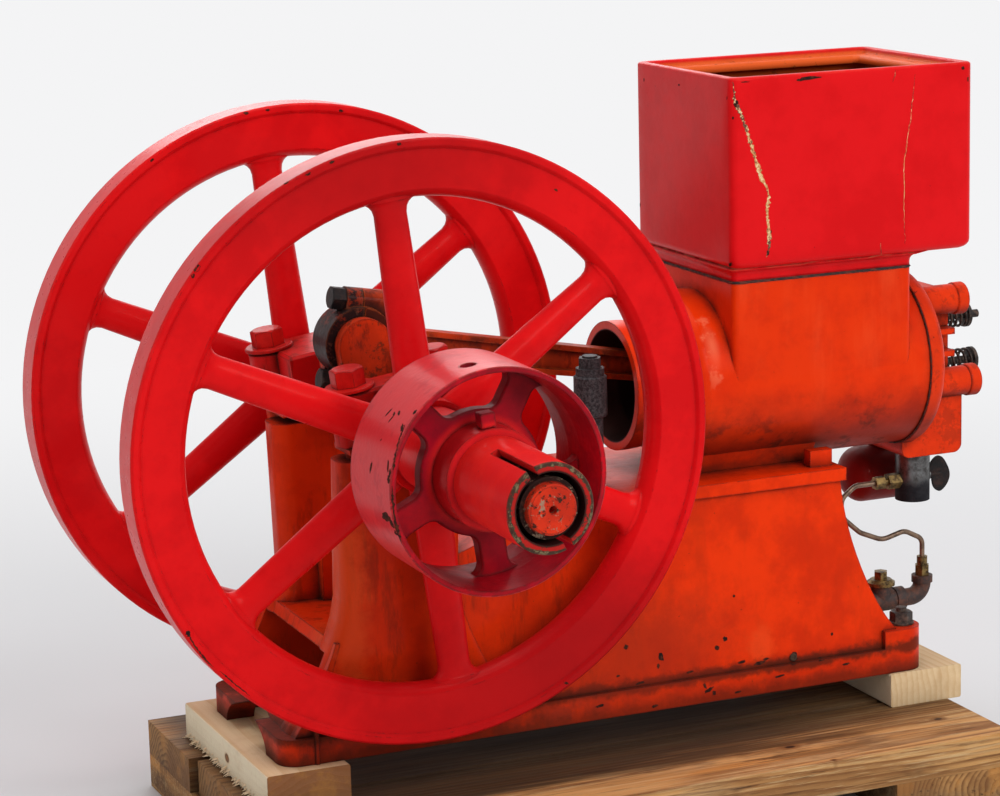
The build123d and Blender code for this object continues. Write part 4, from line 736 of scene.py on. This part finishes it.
def cap_bolt_piece(name, cap, shift, has_nut):
    low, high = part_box(cap)
    middle = Matrix.Translation((axis.x, (low.y + high.y) / 2, axis.z))
    middle = middle @ Matrix.Rotation(BEARING_LEAN, 4, "Y")
    shape = Turning()
    for side in (-BOLT_SPREAD, BOLT_SPREAD):
        place = middle @ Matrix.Translation((side, shift, 0))
        shape.round(place, (CAP_TOP, WASHER_RADIUS - 0.0006), (CAP_TOP + 0.0006, WASHER_RADIUS),
                    (CAP_TOP + 0.0028, WASHER_RADIUS), (WASHER_TOP, WASHER_RADIUS - 0.0014))
        shape.hexagon(place, 0.031, WASHER_TOP, WASHER_TOP + 0.018)
        if has_nut:
            shape.hexagon(place, 0.028, NUT_TOP - 0.015, NUT_TOP, True, True)
            shape.thread(place @ Matrix.Rotation(math.pi, 4, "X"), CAP_BOLT_RADIUS, 0.076, 0.083, 0.0025)
        shape.round(place, (NUT_TOP if has_nut else -0.045, CAP_BOLT_RADIUS), (CAP_TOP, CAP_BOLT_RADIUS))
    piece = new_piece(name + "_turned", shape.points, shape.faces, bolt_paint, "engine", smooth=False)
    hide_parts(name)


cap_bolt_piece("near_cap_bolts", "near_bearing_cap", 0.0, False)
cap_bolt_piece("far_cap_bolts", "far_bearing_cap", 0.020, True)


# Crank throw, rod and piston. A forged crank turns in the big end of an I-section rod; the dark
# strap and its two bolts close the big end. Splashed oil has browned the paint on all of it.
THROW = 0.078
CRANK_TURN = math.radians(98)
ROD_LENGTH = 0.437
ROD_BOLT_SPREAD = 0.043
ROD_BOLT_RADIUS = 0.006
low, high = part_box("connecting_rod")
pin = Vector((axis.x + THROW * math.cos(CRANK_TURN), (low.y + high.y) / 2,
              axis.z + THROW * math.sin(CRANK_TURN)))


def grime_round_pin(finish, inner, outer, amount):
    """Old grease thrown out of the big end, in a ring round the crank pin, and smears of it."""
    away = finish.off_axis(pin) + (finish.noise(46.0, 5, 0.75) - 0.5) * 0.03
    ring = finish.rise(away, inner, inner + 0.004) * (1 - finish.rise(away, outer, outer + 0.02))
    finish.lay(ring * amount, tone(26, 18, 16), 0.45)
    finish.lay(finish.cloud(0.5, 0.64, (60, 60, 26), 5, 0.75) * 0.6, tone(70, 30, 20), 0.5)


crank_paint = PaintedIron("crank_orange_paint", tone(220, 58, 20), tone(170, 44, 18), gloss=0.35)
crank_paint.lay(crank_paint.cloud(0.54, 0.6, 48.0, 5, 0.75) * 0.8, tone(84, 40, 24), 0.6)
grime_round_pin(crank_paint, 0.036, 0.05, 0.9)
crank_paint.soil_and_shade(1.0, tone(46, 24, 18), 0.05)
crank_paint.crease(1.0, tone(30, 18, 16))
crank_paint.wear(1.0, 0.003, tone(60, 34, 24))
dress(crank_paint.done(), "crank_throw")
rod_paint = PaintedIron("rod_orange_paint", tone(206, 64, 24), tone(150, 50, 24), gloss=0.35)
rod_paint.lay(rod_paint.cloud(0.5, 0.66, 26.0, 5, 0.7) * 0.7, tone(80, 42, 28), 0.6)
grime_round_pin(rod_paint, 0.026, 0.04, 0.85)
rod_paint.soil_and_shade(0.9, tone(50, 28, 22))
rod_paint.crease(1.0, tone(40, 22, 18))
rod_paint.wear(0.9, 0.0022, tone(196, 92, 44))
dress(rod_paint.done(), "connecting_rod")
strap_paint = PaintedIron("greasy_strap_paint", tone(34, 27, 27), tone(22, 18, 19), casting=1.6)
z = strap_paint.xyz()[2]
old_orange = strap_paint.cloud(0.52, 0.6, 52.0, 5, 0.8) * strap_paint.rise(z, pin.z + 0.01, pin.z + 0.04)
strap_paint.lay(old_orange * 0.75, tone(150, 50, 26), 0.45)
strap_paint.lay(strap_paint.cloud(0.58, 0.62, 130.0, 5, 0.8) * 0.6, tone(96, 62, 48), 0.7, 0.6)
strap_paint.wear(1.0, 0.003, tone(120, 70, 46))
dress(strap_paint.done(), "big_end_cap")
bright_steel = DirtyMetal("bore_steel", (60.0, 4, 0.6), (0.4, 0.7), tone(150, 144, 138), tone(96, 78, 64),
                          (0.2, 0.3), Metallic=0.9)
bright_steel.bump(bright_steel.noise((900, 12, 12), 2, 0.5), 0.0001, 0.6)
dress(bright_steel, "piston", "wrist_pin")
black_iron = DirtyMetal("greasy_black_iron", (70.0, 5, 0.7), (0.42, 0.7), tone(18, 15, 16), tone(58, 38, 32),
                        (0.3, 0.5), Metallic=0.1, Specular_IOR_Level=0.22)
black_iron.bump(black_iron.noise(180.0, 5, 0.7), 0.001, 0.9, 0.0015)

rod_lean = math.asin((pin.z - axis.z) / ROD_LENGTH)
rod_frame = Matrix.Translation(pin) @ Matrix.Rotation(rod_lean, 4, "Y")
rod_frame = rod_frame @ Matrix.Rotation(math.radians(90), 4, "Y")
rod_bolt_shape = Turning()
for side in (-ROD_BOLT_SPREAD, ROD_BOLT_SPREAD):
    place = rod_frame @ Matrix.Translation((side, 0, 0))
    rod_bolt_shape.round(place, (-0.018, ROD_BOLT_RADIUS), (0.036, ROD_BOLT_RADIUS))
    rod_bolt_shape.hexagon(place, 0.022, -0.033, -0.018, False, True)
    rod_bolt_shape.hexagon(place, 0.020, 0.034, 0.043)
    rod_bolt_shape.thread(place, ROD_BOLT_RADIUS, 0.0425, 0.046, 0.0015)
rod_bolts = new_piece("rod_bolts_turned", rod_bolt_shape.points, rod_bolt_shape.faces, black_iron, "engine",
                      smooth=False)
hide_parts("rod_bolts")


# Cylinder. The bore, its bell mouth and the water jacket are one iron casting, bolted to the base
# through a saddle. Its paint is glossy on top and brown with baked oil below. Painted shade darkens
# its undersides and its bore, and painted highlights lie on its upper faces and its bell.
BORE_AXIS = Vector((0.0, 0.016, 0.444))
BORE_EDGE = (0.0605, 0.0625)
jacket_paint = PaintedIron("jacket_orange_paint", tone(230, 54, 8), tone(216, 44, 8), casting=0.7, gloss=0.2)
face_z = jacket_paint.facing()[2]
under = jacket_paint.rise(0 - face_z + (jacket_paint.mottle - 0.5) * 0.5, -0.05, 0.75)
# Painted highlights: pale streaks on the faces that do not look down.
painted_sheen_streaks = jacket_paint.cloud(0.5, 0.75, (34, 3, 6), 4, 0.6) * (1 - under)
jacket_paint.lay(painted_sheen_streaks * 0.3, tone(242, 92, 48), 0.3)
# Painted shade: faces that look down are darkened.
jacket_paint.lay(under * 0.8, tone(112, 30, 14), 0.5)
baked = jacket_paint.cloud(0.5, 0.64, 24.0, 5, 0.75)
jacket_paint.lay(under * baked * 0.75, tone(64, 30, 22), 0.6)
# Painted highlight: a pale, less rough patch on the flare of the bell.
painted_highlight = jacket_paint.near_point(seen_at("cylinder_casting", 712, 345)[0], (0.02, 0.05, 0.06))
jacket_paint.lay(jacket_paint.rise(painted_highlight + (baked - 0.5) * 0.5, 0.2, 0.8) * 0.35, tone(250, 150, 110), 0.3)
jacket_paint.soil_and_shade(0.8)
# Painted shade: the inside of the bore is dark.
in_bore = 1 - jacket_paint.rise(jacket_paint.off_axis(BORE_AXIS, "x"), *BORE_EDGE)
jacket_paint.lay(in_bore, tone(26, 18, 16), 0.5)
jacket_paint.specks(0.4)
jacket_paint.crease(0.8)
jacket_paint.chips(0.2)
jacket_paint.wear(0.7)
dress(jacket_paint.done(), "cylinder_casting")


# Gasket. Two sheets of packing squeezed between the jacket and the hopper; the edge is ragged and
# black with old sealer.
PAD_CORNER = 0.007
BEAD_STEP = 0.002
BEAD_SIDES = 6
seal = DirtyMetal("black_sealer", (180.0, 4, 0.7), (0.45, 0.6), tone(28, 20, 18), tone(96, 40, 22),
                  Roughness=0.7)
seal.bump(seal.noise(400.0, 4, 0.7), 0.0008)
dress(seal, "hopper_gasket")


def between(start, end, share):
    return tuple(a + (b - a) * share for a, b in zip(start, end))


def box_ring(half_x, half_y, corner, height, per_corner=7, per_side=14):
    """The points of a rounded rectangle at one height, the same count at every size."""
    arcs = []
    for turn, (sx, sy) in enumerate(((1, 1), (-1, 1), (-1, -1), (1, -1))):
        arc = []
        for k in range(per_corner):
            angle = math.radians(90 * turn + 90 * k / (per_corner - 1))
            arc.append(((half_x - corner) * sx + corner * math.cos(angle),
                        (half_y - corner) * sy + corner * math.sin(angle), height))
        arcs.append(arc)
    ring = []
    for arc, following in zip(arcs, arcs[1:] + arcs[:1]):
        ring += arc
        ring += [between(arc[-1], following[0], k / per_side) for k in range(1, per_side)]
    return ring


def ragged_bead(name, corners, radius, seed, finish):
    """A squeezed-out bead that runs along the given corners, thick and thin by turns."""
    chance = random.Random(seed)
    points = []
    rows = 0
    for a, b in zip(corners, corners[1:]):
        a = Vector(a)
        b = Vector(b)
        along = (b - a).normalized()
        steps = max(2, int((b - a).length / BEAD_STEP))
        for step in range(steps):
            place = a + (b - a) * (step / steps)
            side = along.cross(Vector((0, 0, 1)))
            if side.length < 0.1:
                side = along.cross(Vector((1, 0, 0)))
            side.normalize()
            over = side.cross(along)
            size = radius * chance.uniform(0.35, 1.15)
            for k in range(BEAD_SIDES):
                angle = 2 * math.pi * k / BEAD_SIDES
                rim = place + side * (size * math.cos(angle))
                points.append(rim + over * (0.8 * size * math.sin(angle)))
            rows += 1
    return new_piece(name, points, joined(rows, BEAD_SIDES), finish, "engine")


low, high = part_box("hopper_gasket")
half_x = (high.x - low.x) / 2
half_y = (high.y - low.y) / 2
seam = []
for across, along, height in box_ring(half_x, half_y, PAD_CORNER, (low.z + high.z) / 2, 5, 1):
    seam.append((low.x + half_x + across, low.y + half_y + along, height))
bead = ragged_bead("gasket_squeezed_edge", seam + seam[:1], 0.0015, 3, seal)


# Hopper. An open iron box that holds the cooling water, cast thin and painted bright red over the
# engine's orange, with a narrow orange ledge inside. Something sharp has scored its near side.
LIP = 0.010
LIP_ROLL = 0.003
LEDGE_DROP = 0.006
LEDGE = 0.027
WALL = 0.011
FLOOR_HEIGHT = 0.026
NECK_HEIGHT = 0.004
NECK_FLARE = (0.006, 0.008)
SPREAD = 0.014
UNDERSIDE = 0.015
UNDER_ROLL = 0.010
UNDER_CORNER = 0.008
OUTER_CORNER = 0.009
INNER_CORNER = 0.007
HOLE_IN = 0.030
HOLE_CORNER = 0.006
WALL_ROWS = 12
QUARTERS = (0.25, 0.5, 0.75, 1.0)
FIFTHS = (0.2, 0.4, 0.6, 0.8, 1.0)
low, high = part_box("hopper")
pad_low, pad_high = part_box("hopper_gasket")

hopper_paint = PaintedIron("hopper_red_paint", tone(222, 20, 26), tone(208, 14, 20), casting=0.5, gloss=0.22)
x, y, z = hopper_paint.xyz()


def within(first, last, inward):
    """1 between the four upright sides of a box, moved in by a little."""
    return ((x > first.x + inward) * (x < last.x - inward) * (y > first.y + inward) * (y < last.y - inward))


cavity = within(low, high, LIP - 0.0015) * (z > low.z + FLOOR_HEIGHT - 0.003)
hole = within(pad_low, pad_high, 0.025)
below_lip = 1 - hopper_paint.rise(z, high.z - LEDGE_DROP + 0.0005, high.z - 0.0015)
ledge = (1 - (1 - cavity) * (1 - hole)) * below_lip
hopper_paint.specks(0.35, tone(70, 20, 20))
hopper_paint.lay(ledge, tone(220, 90, 36), 0.5)
hopper_paint.lay(ledge * (1 - hopper_paint.rise(z, high.z - 0.05, high.z - 0.014)), RUST, 0.85)
hopper_paint.lay(ledge * hopper_paint.cloud(0.6, 0.66, 70.0, 5, 0.75) * 0.7, tone(96, 50, 28), 0.85)
# Dark red in the corners: painted shade.
hopper_paint.soil_and_shade(0.2, tone(110, 12, 18), 0.03)
hopper_paint.crease(0.7, tone(74, 10, 14))
hopper_paint.wear(0.7, 0.0014, tone(206, 150, 110))
hopper_paint.done(0.00045, corner=0.0012)


def quarter(shares):
    """How far along and across a quarter turn has come, at shares of it."""
    turns = [math.radians(90 * share) for share in shares]
    return [(math.sin(turn), 1 - math.cos(turn)) for turn in turns]


def hopper_body():
    """Neck, flared underside, straight walls, a rolled lip, the ledge inside it and the inner walls."""
    middle = (low + high) / 2
    hx = (high.x - low.x) / 2
    hy = (high.y - low.y) / 2
    pad_x = (pad_low.x + pad_high.x) / 2 - middle.x
    px = (pad_high.x - pad_low.x) / 2
    py = (pad_high.y - pad_low.y) / 2
    floor_z = low.z + UNDERSIDE
    rows = []

    def row(half_x, half_y, corner, height, shift=0.0):
        ring = box_ring(half_x, half_y, corner, height)
        rows.append([(a + middle.x + shift, b + middle.y, c) for a, b, c in ring])

    def inset(inward, corner, height):
        row(hx - inward, hy - inward, corner, height)

    row(px, py, PAD_CORNER, low.z, pad_x)
    row(px, py, PAD_CORNER, low.z + NECK_HEIGHT, pad_x)
    for along, across in quarter(QUARTERS):
        out = NECK_FLARE[0] * across
        row(px + out, py + out, PAD_CORNER, low.z + NECK_HEIGHT + NECK_FLARE[1] * along, pad_x)
    row(px + SPREAD, hy - UNDER_ROLL, UNDER_CORNER, floor_z, pad_x * 0.7)
    inset(UNDER_ROLL, UNDER_CORNER, floor_z)
    for along, across in quarter(FIFTHS):
        inset(UNDER_ROLL * (1 - along), OUTER_CORNER, floor_z + UNDER_ROLL * across)
    wall_foot = floor_z + UNDER_ROLL
    for k in range(1, WALL_ROWS):
        inset(0.0, OUTER_CORNER, wall_foot + (high.z - 0.004 - wall_foot) * k / WALL_ROWS)
    for along, across in quarter((0.0,) + QUARTERS):
        inset(LIP_ROLL * across, OUTER_CORNER, high.z - LIP_ROLL * (1 - along))
    for along, across in quarter((0.0,) + QUARTERS):
        inset(LIP - LIP_ROLL * (1 - along), INNER_CORNER, high.z - LIP_ROLL * across)
    for inward, drop in ((LIP + 0.001, LEDGE_DROP), (LIP + 0.004, LEDGE_DROP + 0.001),
                         (LEDGE - 0.006, LEDGE_DROP + 0.001), (LEDGE - 0.002, LEDGE_DROP + 0.002),
                         (LEDGE, LEDGE_DROP + 0.005), (LEDGE, 0.015), (LEDGE - 0.002, 0.016),
                         (WALL, 0.016), (WALL, 0.06), (WALL, 0.12)):
        inset(inward, INNER_CORNER, high.z - drop)
    inset(WALL, INNER_CORNER, low.z + FLOOR_HEIGHT)
    for height in (low.z + FLOOR_HEIGHT, low.z):
        row(px - HOLE_IN, py - HOLE_IN, HOLE_CORNER, height, pad_x)
    points = [point for ring in rows for point in ring]
    return points, joined(len(rows), len(rows[0]), closed=True)


hopper_cast = new_piece("hopper_cast", *hopper_body(), hopper_paint, "engine")


SCORE_STEP = 1.6
SCORE_EDGE = 0.00008
SCORE_RIDGE = 0.00028


def score(node, body, finish, name, runs, seed):
    """Scratches and rubbed edges: each run is its width in mm and its points in the picture."""
    chance = random.Random(seed)
    points = []
    faces = []
    for width, places in runs:
        line = []
        for start, end in zip(places, places[1:]):
            steps = max(2, int(math.dist(start, end) / SCORE_STEP))
            line += [between(start, end, k / steps) for k in range(steps)]
        line.append(places[-1])
        first = len(points)
        for k, (across, down) in enumerate(line):
            middle, normal = seen_at(node, across + chance.uniform(-0.5, 0.5), down)
            taper = min(1.0, 4 * min(k, len(line) - 1 - k) / len(line) + 0.15)
            half = width / 2 / MM_PER_METRE * taper * chance.uniform(0.35, 1.2)
            side = level_side(normal)
            other = half * chance.uniform(0.6, 1.3)
            points.append(lift(node, middle - side * half, normal, SCORE_EDGE))
            points.append(lift(node, middle, normal, SCORE_RIDGE))
            points.append(lift(node, middle + side * other, normal, SCORE_EDGE))
        for k in range(len(line) - 1):
            a = first + 3 * k
            faces.append((a, a + 1, a + 4, a + 3))
            faces.append((a + 1, a + 2, a + 5, a + 4))
    return new_piece(name, points, faces, finish, body, smooth=False)


primer = new_finish("scored_primer", Roughness=0.7)
grain = primer.noise(330.0, 4, 0.75)
primer_tone = primer.tint(primer.rise(grain, 0.36, 0.52), tone(236, 208, 156), tone(206, 146, 84))
z = primer.xyz()[2]
rusting = grain + (primer.rise(z, 0.69, 0.75) + 1 - primer.rise(z, 0.6, 0.625)) * 0.14
primer.feed("Base Color", primer.tint(primer.rise(rusting, 0.56, 0.62), primer_tone, tone(96, 46, 24)))
primer.bump(grain, 0.0005)
scratches = score("hopper", "engine", primer, "hopper_scratches", [
    (5, [(733, 82), (735, 102), (741, 114), (750, 141), (757, 164), (768, 193)]),
    (5.8, [(755, 158), (761, 178), (767, 187)]),
    (4.6, [(767, 184), (769, 196), (767, 210), (769, 232), (769, 247), (767, 257)]),
    (0.9, [(915, 74), (911, 116), (904, 164), (904, 214), (905, 244)]),
    (0.7, [(896, 70), (893, 82)]), (0.8, [(881, 242), (881, 255)])], 21)
hopper_chips = flakes("hopper_bare_patches", "hopper", "engine", chipped_iron, [
    (963, 68, 5, 5, 0), (968, 79, 3, 6, 0), (730, 265, 8, 4, 70), (736, 104, 9, 5, 70),
    (733, 118, 4, 2.5, 80), (771, 232, 4, 2, 80), (768, 253, 8, 4, 80), (810, 78, 30, 4.5, 3),
    (800, 80, 12, 3, 0), (745, 82, 12, 1.6, 0), (727, 98, 5, 1.8, 85), (679, 85, 4, 3, 0),
    (640, 205, 4, 6, 0), (644, 80, 3, 5, 0)], 31)
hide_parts("hopper")


# Cylinder head. A round iron plate on the end of the cylinder with the valve chest, two long
# bosses and two cooling ribs cast on. Heat has browned the paint and lifted it at the corners.
HEAD_SEAM_RADIUS = 0.0985
HEAD_SEAM_STEPS = 72
head_paint = PaintedIron("head_orange_paint", tone(230, 58, 16), tone(204, 48, 16), gloss=0.32)
head_paint.lay(head_paint.cloud(0.52, 0.6, 38.0, 5, 0.75) * 0.4, tone(126, 40, 24), 0.6)
# Painted shade: faces that look down are darker.
face_z = head_paint.facing()[2]
head_paint.lay(head_paint.rise(0 - face_z, 0.1, 0.9) * 0.7, tone(86, 30, 20), 0.6)
head_paint.soil_and_shade(0.8, tone(48, 24, 18), 0.03)
head_paint.crease(0.9)
head_paint.specks(0.8)
head_paint.chips(0.6)
head_paint.wear(0.9)
dress(head_paint.done(), "cylinder_head")
seam_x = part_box("cylinder_casting")[1].x
seam_y = (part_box("hopper")[0].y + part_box("hopper")[1].y) / 2
seam = []
for k in range(HEAD_SEAM_STEPS + 1):
    angle = 2 * math.pi * k / HEAD_SEAM_STEPS
    seam.append((seam_x, seam_y + HEAD_SEAM_RADIUS * math.cos(angle),
                 axis.z + HEAD_SEAM_RADIUS * math.sin(angle)))
seam_bead = ragged_bead("head_gasket_edge", seam, 0.0013, 8, seal)


# Valves. Two stems come out of the chest, each with a coil spring held by a pressed retainer; the
# steel is black with soot and oil.
sooty_steel = DirtyMetal("sooty_steel", (200.0, 4, 0.7), (0.4, 0.66), tone(30, 25, 24), tone(86, 68, 58),
                         (0.35, 0.4), Metallic=0.6)
sooty_steel.bump(sooty_steel.noise(700.0, 3, 0.6), 0.0002)
dress(sooty_steel, "upper_valve_stem", "lower_valve_stem", "upper_valve_spring", "lower_valve_spring",
      "upper_retainer", "lower_retainer")


# Mixer. A short steel air pipe hangs under the head; the fuel enters its side, and a leaf shaped
# thumb plate turns the choke disc inside it.
pipe_steel = new_finish("mixer_steel", Metallic=0.85)
z = pipe_steel.xyz()[2]
pipe_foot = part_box("mixer_pipe")[0].z
flaky = pipe_steel.noise(90.0, 5, 0.75)
sooted = 1 - pipe_steel.rise(z + (flaky - 0.5) * 0.03, pipe_foot + 0.016, pipe_foot + 0.03)
metal = pipe_steel.tint(pipe_steel.rise(flaky, 0.35, 0.7), tone(112, 112, 112), tone(58, 54, 52))
pipe_steel.feed("Base Color", pipe_steel.tint(sooted * 0.9, metal, tone(26, 24, 30)))
pipe_steel.feed("Roughness", 0.25 + sooted * 0.4 + flaky * 0.2)
pipe_steel.bump(flaky * (0.3 + sooted), 0.0006)
dress(pipe_steel, "mixer_pipe")
dress(black_iron, "choke_handle")


# Fuel line. Thin brass tube with brass compression fittings drops from the mixer to an iron tee
# and elbow at the end of the base; a flanged brass plug closes the tee's branch.
old_brass = DirtyMetal("old_brass", (130.0, 5, 0.7), (0.38, 0.64), tone(136, 112, 68), tone(62, 48, 34),
                       (0.25, 0.4), Metallic=0.9)
old_brass.bump(old_brass.noise(500.0, 3, 0.6), 0.0002, 0.7, 0.0007)
dress(old_brass, "mixer_fittings", "brass_plug", "tube_nut")
dull_tube = DirtyMetal("dull_copper_tube", (90.0, 4, 0.65), (0.38, 0.64), tone(132, 108, 88),
                       tone(84, 66, 54), (0.28, 0.3), Metallic=0.6)
dull_tube.bump(dull_tube.film, 0.0002)
dress(dull_tube, "fuel_tube")
rusty_iron = DirtyMetal("rusty_pipe_iron", (110.0, 5, 0.75), (0.4, 0.64), tone(50, 38, 36), tone(96, 60, 46),
                        (0.5, 0.35), Metallic=0.2)
rusty_iron.bump(rusty_iron.film, 0.0009, 0.8, 0.0015)
dress(rusty_iron, "fuel_tee")


# Oil cup. A screw-down grease cup of unpainted malleable iron on a long stem, that feeds the
# cylinder; its body is pitted and its cap polished a little by hands.
pitted_iron = DirtyMetal("pitted_iron", (300.0, 4, 0.75), (0.36, 0.66), tone(22, 22, 26), tone(86, 84, 86),
                         (0.4, 0.35), Metallic=0.4)
pitted_iron.bump(pitted_iron.film, 0.0009, 0.9, 0.001)
dress(pitted_iron, "oil_cup")


# Exhaust pot. A small cast muffler on a pipe behind the head, painted a darker red that has dulled
# with heat.
pot_paint = PaintedIron("pot_dark_red_paint", tone(122, 22, 20), tone(84, 18, 16), gloss=0.4)
pot_paint.soil_and_shade(0.7, tone(40, 18, 16))
pot_paint.wear(0.7, under=RUST)
dress(pot_paint.done(), "exhaust_pot")


# Flywheels. Two heavy iron wheels with six oval arms, keyed to the crankshaft's ends, rim turned
# smooth and brush painted bright red in one thick glossy coat.
wheel_paint = PaintedIron("wheel_red_paint", tone(226, 20, 24), tone(206, 14, 20), casting=0.5, gloss=0.18)
# Painted shade: the near wheel's top and lower right are darkened.
for across, down, reach in ((370, 166, 0.28), (520, 700, 0.3), (600, 640, 0.2)):
    painted_shade = wheel_paint.near_point(seen_at("near_flywheel", across, down)[0], (reach, 0.09, 0.6 * reach))
    painted_shade = wheel_paint.rise(painted_shade + (wheel_paint.mottle - 0.5) * 0.25, 0.0, 0.9)
    wheel_paint.lay(painted_shade * 0.6, tone(148, 14, 18), 0.4)
# Dark red in the corners and grooves: painted shade.
wheel_paint.soil_and_shade(0.3, tone(120, 10, 16), 0.03)
wheel_paint.crease(0.75, tone(104, 12, 16), 0.006)
wheel_paint.wear(0.25, 0.002, tone(60, 26, 26))
dress(wheel_paint.done(0.0004, corner=0.003), "near_flywheel", "far_flywheel")
near_chips = flakes("near_rim_chips", "near_flywheel", "flywheel_set", chipped_iron, [
    (197, 268, 10, 6, 60), (193, 276, 5, 4, 60), (308, 174, 7, 4, 20), (332, 162, 6, 3, 20),
    (286, 183, 6, 3, 30), (399, 144, 6, 4, 0), (188, 634, 6, 8, 0), (566, 683, 8, 3, -30),
    (556, 190, 5, 3, -30)], 51)
rim_edge = score("near_flywheel", "flywheel_set", chipped_iron, "near_rim_worn_edge", [
    (3, [(187, 631), (194, 645), (206, 660), (213, 667)]),
    (2, [(220, 671), (235, 684), (250, 696)])], 53)
far_chips = flakes("far_rim_chips", "far_flywheel", "flywheel_set", chipped_iron, [
    (246, 113, 7, 4, 10), (268, 110, 6, 3, 5), (341, 111, 7, 4, -5), (152, 160, 6, 3, 40)], 52)


# Shaft ends, pulley, sleeve. The near shaft end carries a flat belt pulley held by a square headed
# screw, and a slotted sleeve that a starting crank grips. Belts have worn the pulley's face.
PULLEY_EDGE = (0.1085, 0.1095)
HUB_EDGE = (0.052, 0.06)
SLEEVE_BORE = (0.0345, 0.0365)
SHAFT_EDGE = (0.0235, 0.0255)
pulley_paint = PaintedIron("pulley_red_paint", tone(196, 18, 34), tone(160, 12, 34), gloss=0.26)
axial = pulley_paint.off_axis(axis)
tread = pulley_paint.rise(axial, *PULLEY_EDGE)
hub = 1 - pulley_paint.rise(axial, *HUB_EDGE)
pulley_paint.lay(hub * 0.85, tone(232, 34, 36), 0.28)
pulley_paint.lay(tread * 0.7, tone(222, 58, 62), 0.3)
pulley_paint.lay(tread * pulley_paint.cloud(0.5, 0.62, 22.0, 5, 0.7) * 0.4, tone(168, 36, 48), 0.4)
# Dark crimson patches on the web between hub and tread.
dark_web_patches = pulley_paint.cloud(0.36, 0.6, 15.0, 5, 0.7) * (1 - tread) * (1 - hub)
pulley_paint.lay(dark_web_patches * 0.5, tone(92, 20, 32), 0.5)
# Dark crimson in the corners: painted shade.
pulley_paint.soil_and_shade(0.7, tone(80, 18, 30), 0.06)
pulley_paint.crease(0.5, tone(60, 18, 24), 0.008)
pulley_paint.chips(0.15)
pulley_paint.wear(1.0, 0.004, tone(64, 36, 34))
dress(pulley_paint.done(), "belt_pulley", "set_screw")
pulley_chips = flakes("pulley_bare_patches", "belt_pulley", "flywheel_set", chipped_iron, [
    (389, 412, 14, 3, 10), (394, 414, 4, 7, 0), (399, 413, 4, 9, 0), (391, 419, 10, 3, 20),
    (371, 467, 14, 5, 60), (389, 479, 10, 10, 20), (390, 472, 6, 8, 0), (386, 517, 28, 11, 40),
    (392, 524, 14, 10, 20), (396, 533, 12, 6, 60), (402, 428, 6, 12, 0), (388, 466, 5, 14, 0),
    (381, 440, 4, 2, 0), (415, 412, 6, 6, 0)], 41)
pulley_edge = score("belt_pulley", "flywheel_set", chipped_iron, "pulley_worn_edge", [
    (4.5, [(405, 425), (399, 440), (395, 456), (393, 470)]),
    (3.5, [(392, 486), (393, 506), (396, 526), (402, 545)])], 43)
sleeve_paint = PaintedIron("sleeve_bright_paint", tone(236, 38, 34), tone(218, 28, 32), gloss=0.28)
y = sleeve_paint.xyz()[1]
low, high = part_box("crank_sleeve")
sleeve_radius = high.z - axis.z
axial = sleeve_paint.off_axis(axis)
uneven = (sleeve_paint.mottle - 0.5) * 0.006
end_face = 1 - sleeve_paint.rise(y + uneven, low.y + 0.0005, low.y + 0.003)
outer_edge = sleeve_paint.rise(axial + uneven, sleeve_radius - 0.005, sleeve_radius - 0.003)
rubbed = sleeve_paint.noise(110.0, 5, 0.75)
sleeve_paint.lay(end_face * 0.8, tone(150, 32, 28), 0.5)
bared = end_face * sleeve_paint.rise(rubbed + outer_edge * 0.2, 0.54, 0.6)
sleeve_paint.lay(bared, tone(64, 50, 40), 0.6, -0.4)
sleeve_paint.lay(end_face * outer_edge * sleeve_paint.rise(rubbed, 0.5, 0.56) * 0.7, tone(140, 126, 92), 0.6)
sleeve_paint.lay(1 - sleeve_paint.rise(axial, *SLEEVE_BORE), tone(36, 22, 20), 0.7)
sleeve_paint.soil_and_shade(0.6, tone(64, 24, 24), 0.02)
sleeve_paint.chips(0.6)
sleeve_paint.wear(1.0, 0.002, tone(70, 52, 44))
dress(sleeve_paint.done(), "crank_sleeve")
end_paint = PaintedIron("shaft_end_paint", tone(222, 56, 28), tone(176, 40, 24), gloss=0.35)
end_paint.lay(end_paint.rise(end_paint.off_axis(axis), *SHAFT_EDGE), tone(30, 22, 20), 0.6)
end_paint.lay(end_paint.cloud(0.57, 0.6, 95.0, 5, 0.8) * 0.85, tone(150, 130, 108), 0.5, -0.6)
end_paint.lay(end_paint.cloud(0.56, 0.6, 120.0, 5, 0.8), tone(60, 36, 28), 0.6, -0.6)
end_paint.wear(1.0, 0.002, tone(54, 40, 34))
dress(end_paint.done(), "near_shaft", "far_shaft", "shaft_ring")
